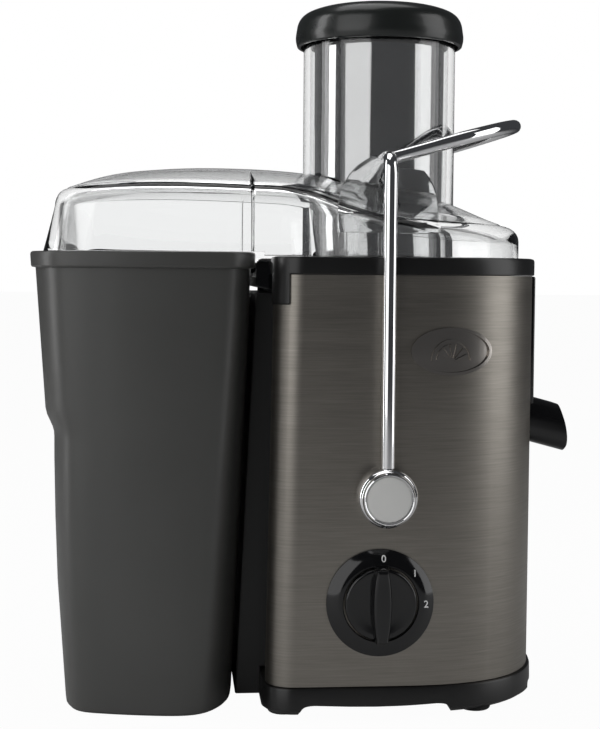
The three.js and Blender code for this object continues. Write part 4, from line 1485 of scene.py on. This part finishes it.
@dataclass
class Arm:
    """The locking arm: one bent bar between two pivot hubs."""

    finishes: Finishes
    bar: float = 3.2
    reach_y: float = 78.0
    run_y: float = 50.0
    top: float = 258.0
    rise: float = 16.0
    loop_start: float = 25.4
    bend: float = 9.5
    bar_well: float = 3.4
    pin_well: float = 4.2

    def point(self, reach: float, y: float) -> Vector:
        """A place on the arm's raised loop."""
        slope = math.radians(self.rise)
        x = PLACES.pivot.x + reach * math.cos(slope) * MM
        return Vector((x, y * MM, (self.top + reach * math.sin(slope)) * MM))

    def half_path(self, foot: float) -> list[Vector]:
        """The bar's middle line from the front hub to the start of the loop."""
        x = PLACES.pivot.x
        corners = [
            Vector((x, -self.reach_y * MM, foot * MM)),
            Vector((x, -self.reach_y * MM, self.top * MM)),
            self.point(0, -self.run_y),
            self.point(self.loop_start, -self.run_y),
        ]
        path = [corners[0]]
        for before, corner, after in zip(corners, corners[1:], corners[2:]):
            a = (before - corner).normalized()
            b = (after - corner).normalized()
            reach = self.bend * MM / math.tan(a.angle(b) / 2)
            start = corner + a * reach
            end = corner + b * reach
            for i in range(13):
                t = i / 12
                path.append(start * (1 - t) ** 2 + corner * 2 * t * (1 - t) + end * t * t)
        return path + [corners[-1]]

    def build(self) -> None:
        """Make and dress the bar and both hubs."""
        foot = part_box("locking_arm")[0].z / MM
        front = self.half_path(foot)
        loop = []
        for i in range(1, 48):
            turn = (i / 48 - 0.5) * math.pi
            loop.append(
                self.point(self.loop_start + self.run_y * math.cos(turn), self.run_y * math.sin(turn))
            )
        rear = [Vector((p.x, -p.y, p.z)) for p in reversed(front)]
        bar = rod("locking_bar", front + loop + rear, self.bar * MM)
        fit(bar, self.finishes.chrome, "chrome", Body.ARM, "locking_arm")
        for side in Side:
            self.hub(side)

    def hub(self, side: Side) -> None:
        """A chrome hub with a stepped rim and a satin disc set into it."""
        where = side.name.lower()
        low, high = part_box("pivot_hub_" + where)
        near = min(abs(low.y), abs(high.y)) / MM
        face = max(abs(low.y), abs(high.y)) / MM
        radius = (high.x - low.x) / 2 / MM
        way = Way.FRONT if side is Side.FRONT else Way.BACK
        profile = [
            (0, near), (radius - 0.5, near), (radius, near + 0.6), (radius, 80.5), (radius - 0.3, 81.6),
            (radius - 1.2, 82.6),
            (12.1, 83.0), (11.9, 83.4), (11.9, face - 0.7), (11.6, face - 0.2), (11.1, face),
            (10.8, face - 0.2),
            (10.6, face - 0.8), (10.6, 83.5), (0, 83.5),
        ]
        hub = turned("hub_" + where, profile, PLACES.pivot, way, 96, 35)
        well = drill(self.bar_well, 112.2, 130, PLACES.pivot, Way.UP, 32)
        shifted(well, Vector((0, self.reach_y * side.value * MM - PLACES.pivot.y, 0)))
        cut(hub, well)
        pin_well = drill(self.pin_well, 0, 80.4, PLACES.pivot, way, 32)
        cut(hub, pin_well)
        fit(hub, self.finishes.chrome, "chrome", Body.ARM, "pivot_hub_" + where)
        profile = [(0, 83.75), (10.35, 83.75), (10.35, 84.3), (9.9, 84.7), (9.2, 84.8), (0, 84.85)]
        disc = turned("hub_disc_" + where, profile, PLACES.pivot, way, 96)
        fit(disc, self.finishes.disc, "satin_steel", Body.ARM, "pivot_disc_" + where)


@dataclass
class Controls:
    """The dial: a convex bezel with raised digits, and the knob with its grip bar."""

    finishes: Finishes
    digit_size: float = 4.6
    digit_depth: float = 0.7
    digit_reach: float = 20.9
    digit_face: float = -74.15

    def build(self) -> None:
        """Make and dress bezel, knob and digits."""
        self.bezel()
        self.knob()
        for text, degrees in (("0", 3.0), ("1", 48.0), ("2", 91.0)):
            self.digit(text, degrees)

    def bezel(self) -> None:
        """The convex gloss ring."""
        low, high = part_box("knob_bezel")
        back = -high.y / MM
        outer = (high.x - low.x) / 2 / MM
        profile = [(17.3, back), (outer - 0.3, back), (outer, back + 0.4)]
        steps = 10
        for i in range(steps + 1):
            t = i / steps
            profile.append((outer - 7.2 * t, back + 0.6 + 3.2 * math.sin(t * math.pi / 2)))
        profile += [(17.6, back + 3.7), (17.3, back + 3.4), (17.3, back)]
        ring = turned("dial_bezel", profile, PLACES.knob, Way.FRONT, 128)
        fit(ring, self.finishes.gloss, "gloss_black", Body.HOUSING, "knob_bezel")

    def knob(self) -> None:
        """The knob: a dished disc and a raised grip bar."""
        low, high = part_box("speed_knob")
        back = -high.y / MM
        front = -low.y / MM
        face = back + 4.0
        profile = [
            (0, back), (16.5, back), (16.5, face), (15.9, face + 0.6), (14.6, face + 0.7), (9.0, face),
            (0, face - 0.2),
        ]
        disc = turned(
            "dial_knob", rounded(profile, [0.3, 0.5, 0.5, 0.8, 3.0], 4), PLACES.knob, Way.FRONT, 128,
        )
        side = []
        steps = 16
        for i in range(steps + 1):
            t = i / steps
            side.append((1.8 + 2.4 * math.sin(math.pi * (0.12 + 0.8 * t)) + 0.3 * t, 17.2 - 34.4 * t))
        outline = side + [(-x, z) for x, z in reversed(side)]
        levels = [
            (1.0, face - 1.2), (0.25, face + 1.2), (0.0, front - 2.0), (-0.35, front - 0.8),
            (-0.9, front - 0.2), (-1.5, front),
        ]
        rings = [
            [
                facing(Way.FRONT, PLACES.knob, a * MM, b * MM, h * MM) for a, b in grow(outline, o)
            ] for o, h in levels
        ]
        unite(disc, ringed("grip", rings, 40))
        cut(disc, drill(3.3, 60, face - 1.2, PLACES.knob, Way.FRONT, 32))
        tidy_mesh(disc, 35)
        fit(disc, self.finishes.gloss, "gloss_black", Body.KNOB, "speed_knob")

    def digit(self, text: str, degrees: float) -> None:
        """A small raised digit on the bezel.

        Args:
            text: the digit.
            degrees: its place, clockwise from the top.
        """
        bpy.ops.object.select_all(action="DESELECT")
        bpy.ops.object.text_add()
        obj = bpy.context.active_object
        obj.data.body = text
        obj.data.size = self.digit_size * MM
        obj.data.extrude = self.digit_depth * MM
        obj.data.align_x = "CENTER"
        obj.data.align_y = "CENTER"
        bpy.ops.object.convert(target="MESH")
        obj = bpy.context.active_object
        turn = math.radians(degrees)
        reach = self.digit_reach
        centre = PLACES.knob
        place = Vector(
            (
                centre.x + reach * math.sin(turn) * MM, self.digit_face * MM,
                centre.z + reach * math.cos(turn) * MM,
            )
        )
        obj.data.transform(Matrix.Translation(place) @ Matrix.Rotation(math.pi / 2, 4, "X"))
        obj.name = "dial_digit_" + text
        only(obj)
        bpy.ops.object.mode_set(mode="EDIT")
        bpy.ops.mesh.select_all(action="SELECT")
        bpy.ops.mesh.remove_doubles(threshold=MERGE)
        bpy.ops.mesh.normals_make_consistent(inside=False)
        bpy.ops.object.mode_set(mode="OBJECT")
        fit(obj, self.finishes.paint, "nylon", Body.HOUSING)


@dataclass
class Basket:
    """The spinning filter basket, its rim and the grater disc."""

    finishes: Finishes

    def build(self) -> None:
        """Make and dress the three pieces."""
        low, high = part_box("filter_basket")
        top = high.z / MM
        rim = (high.x - low.x) / 2 / MM
        profile = [
            (11.5, 137), (15, 137), (15, 145.6), (39.5, 145.6), (40.2, 146.4), (rim, top),
            (rim - 1.1, top), (39.2, 148),
            (0, 148), (0, 146.8), (11.5, 146.8), (11.5, 137),
        ]
        basket = turned("filter_sieve", profile, PLACES.axis, segments=96)
        fit(basket, self.finishes.mesh, "satin_steel", Body.SPINNER, "filter_basket")
        low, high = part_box("basket_rim")
        outer = (high.x - low.x) / 2 / MM
        z0 = low.z / MM
        z1 = high.z / MM
        loop = [
            (outer - 2.8, z0), (outer - 0.6, z0), (outer, z0 + 1), (outer, z1 - 1.5), (outer - 1.4, z1),
            (outer - 2.8, z1 - 1), (outer - 2.8, z0),
        ]
        ring = turned("sieve_rim", loop, PLACES.axis, segments=96)
        fit(ring, self.finishes.black, "black_plastic", Body.SPINNER, "basket_rim")
        disc = turned(
            "grater", [
                (0, 148.3), (38.2, 148.3), (38.2, 149.4), (37.6, 149.7), (9, 150.6), (0, 153),
            ], PLACES.axis, segments=96
        )
        teeth = []
        for row in range(4):
            count = 9 + 5 * row
            for i in range(count):
                tooth = self.tooth(14 + 6 * row)
                teeth.append(spun(tooth, 2 * math.pi * i / count + 0.4 * row, PLACES.axis))
        grater = joined("grater_plate", [disc, *teeth])
        fit(grater, self.finishes.machine_steel, "satin_steel", Body.SPINNER, "grater_disc")

    def tooth(self, radius: float) -> Object:
        """One small raised cutter."""
        centre = PLACES.axis + Vector((radius * MM, 0, 0))
        outline = [(-1.5, -0.4), (1.5, -0.4), (1.5, 0.4), (-1.5, 0.4)]
        levels = [(0.0, 149.6), (-0.05, 150.6), (-0.3, 151.6)]
        rings = [
            [
                facing(Way.UP, centre, a * MM, b * MM, h * MM) for a, b in grow(outline, o)
            ] for o, h in levels
        ]
        return ringed("tooth", rings)


@dataclass
class Works:
    """The motor, switches and small metal parts, which keep their CAD shapes and get their finishes."""

    finishes: Finishes

    def build(self) -> None:
        """Dress the carried-over nodes."""
        f = self.finishes
        dressed = {
            f.machine_steel: [
                "motor_shaft", "rotor_core", "lower_bearing", "upper_bearing", "motor_stator",
                "lower_bracket",
                "upper_bracket", "pivot_pin_front", "pivot_pin_rear",
                *("motor_screw_" + c for c in CORNERS),
            ],
            f.copper: ["commutator", "field_coil_left", "field_coil_right"],
            f.carbon: ["carbon_brush_left", "carbon_brush_right"],
            f.nylon: [
                "interlock_cam", "switch_plunger", "switch_shaft", "brush_holder_left",
                "brush_holder_right",
                "drive_coupler",
            ],
            f.black: ["interlock_switch", "rotary_switch", "cooling_fan"],
            f.rubber: ["shaft_seal"],
        }
        for finish, nodes in dressed.items():
            for node in nodes:
                obj = frame["nodes"][node]
                obj.data.materials.clear()
                obj.data.materials.append(finish)
                LOG.info("%s keeps its CAD shape in %s", node, finish.name)


# ---------------------------------------------------------------- studio


def seen_plainly(nodes: Nodes) -> bpy.types.NodeSocket:
    """One for camera rays, also through clear plastic, and nought for what solid faces mirror.

    Args:
        nodes: the tree helper to add to.

    Returns:
        The socket that holds the value.
    """
    path = nodes.add("ShaderNodeLightPath")

    def below(name: str, limit: float) -> bpy.types.NodeSocket:
        """One where a ray's depth is below a limit."""
        test = nodes.add("ShaderNodeMath", operation="LESS_THAN")
        test.inputs[1].default_value = limit
        nodes.wire((path, name, test, 0))
        return test.outputs[0]

    def combine(operation: str, a: bpy.types.NodeSocket, b: bpy.types.NodeSocket) -> bpy.types.NodeSocket:
        """Two values put together."""
        node = nodes.add("ShaderNodeMath", operation=operation)
        nodes.link(a, node.inputs[0])
        nodes.link(b, node.inputs[1])
        return node.outputs[0]

    shallow = combine("MAXIMUM", below("Glossy Depth", 0.5), below("Transmission Depth", 2.5))
    direct = combine("MULTIPLY", shallow, below("Diffuse Depth", 0.5))
    through = combine("MULTIPLY", path.outputs["Is Transmission Ray"], direct)
    return combine("MAXIMUM", path.outputs["Is Camera Ray"], through)


@dataclass
class Studio:
    """A plain pale floor, soft lights and the camera."""

    eye: tuple[float, float, float] = (-103.3, -742.3, 205.0)
    yaw: float = 4.97
    pitch: float = 3.48
    roll: float = 0.4
    lens: float = 73.58
    glow_share: float = 0.97
    dim: float = 0.05

    def build(self) -> None:
        """Set floor, lights, surroundings and camera."""
        self.floor()
        self.surroundings()
        self.softbox("left_softbox", (-1.0, -1.05, 0.62), (0.0, 0.0, 0.2), 1.25, 1.3, 7.0)
        self.softbox("left_strip", (-1.1, 0.1, 0.4), (0.0, 0.0, 0.2), 0.3, 1.4, 4.5)
        self.softbox("right_softbox", (1.1, -0.3, 0.4), (0.05, 0.0, 0.2), 0.7, 1.4, 5.5)
        self.softbox("top_softbox", (-0.1, 0.1, 1.3), (0.0, 0.0, 0.2), 1.0, 0.8, 4.0)
        self.camera()

    def floor(self) -> None:
        """A wide pale floor."""
        bpy.ops.object.select_all(action="DESELECT")
        bpy.ops.mesh.primitive_plane_add(size=30)
        floor = bpy.context.active_object
        floor.name = "floor"
        made, nodes, shader = new_material("floor_white")
        put(shader, Base_Color=(0.8, 0.8, 0.8, 1), Roughness=0.6)
        glow = nodes.add("ShaderNodeEmission", Strength=1.0)
        share = nodes.add("ShaderNodeMath", operation="MULTIPLY")
        share.inputs[1].default_value = self.glow_share
        mix = nodes.add("ShaderNodeMixShader")
        nodes.link(seen_plainly(nodes), share.inputs[0])
        nodes.wire((share, 0, mix, "Fac"), (shader, 0, mix, 1), (glow, 0, mix, 2))
        nodes.link(mix.outputs[0], made.node_tree.nodes["Material Output"].inputs["Surface"])
        floor.data.materials.append(made)

    def surroundings(self) -> None:
        """White behind the object, dim grey for what polished faces mirror."""
        world = bpy.data.worlds.new("studio")
        world.use_nodes = True
        bpy.context.scene.world = world
        nodes = Nodes(world.node_tree)
        background = world.node_tree.nodes["Background"]
        output = world.node_tree.nodes["World Output"]
        bright = nodes.add("ShaderNodeBackground", Color=(1, 1, 1, 1), Strength=1.0)
        put(background, Color=(0.9, 0.93, 1.0, 1), Strength=self.dim)
        mix = nodes.add("ShaderNodeMixShader")
        nodes.link(seen_plainly(nodes), mix.inputs["Fac"])
        nodes.wire((background, 0, mix, 1), (bright, 0, mix, 2), (mix, 0, output, "Surface"))

    def softbox(
        self, name: str, place: Sequence[
            float
        ], target: Sequence[float], width: float, height: float, power: float
    ) -> None:
        """A rectangular soft light aimed at a point."""
        data = bpy.data.lights.new(name, "AREA")
        data.shape = "RECTANGLE"
        data.size = width
        data.size_y = height
        data.energy = power
        light = bpy.data.objects.new(name, data)
        bpy.context.scene.collection.objects.link(light)
        light.location = place
        light.rotation_euler = (Vector(target) - Vector(place)).to_track_quat("-Z", "Y").to_euler()

    def camera(self) -> None:
        """The camera, a little left of the front and level with the rim."""
        data = bpy.data.cameras.new("camera")
        data.lens = self.lens
        camera = bpy.data.objects.new("camera", data)
        bpy.context.scene.collection.objects.link(camera)
        camera.location = Vector(self.eye) * MM + Vector((PLACES.axis.x, 0, 0))
        camera.rotation_euler = (
            math.radians(90 - self.pitch), math.radians(-self.roll), math.radians(-self.yaw),
        )
        bpy.context.scene.camera = camera
        bpy.context.scene.view_settings.view_transform = "Standard"


def main() -> None:
    """Build the juicer's looks around the frame."""
    logging.basicConfig(level=logging.INFO, format="%(name)s: %(message)s")
    Studio().build()
    finishes = Finishes()
    outline = HousingOutline()
    Base(outline, finishes).build()
    Housing(outline, finishes).build()
    Bowl(finishes).build()
    Lid(finishes).build()
    Pusher(finishes).build()
    PulpBin(finishes).build()
    Arm(finishes).build()
    Controls(finishes).build()
    Basket(finishes).build()
    Works(finishes).build()


if __name__ == "__main__":
    main()
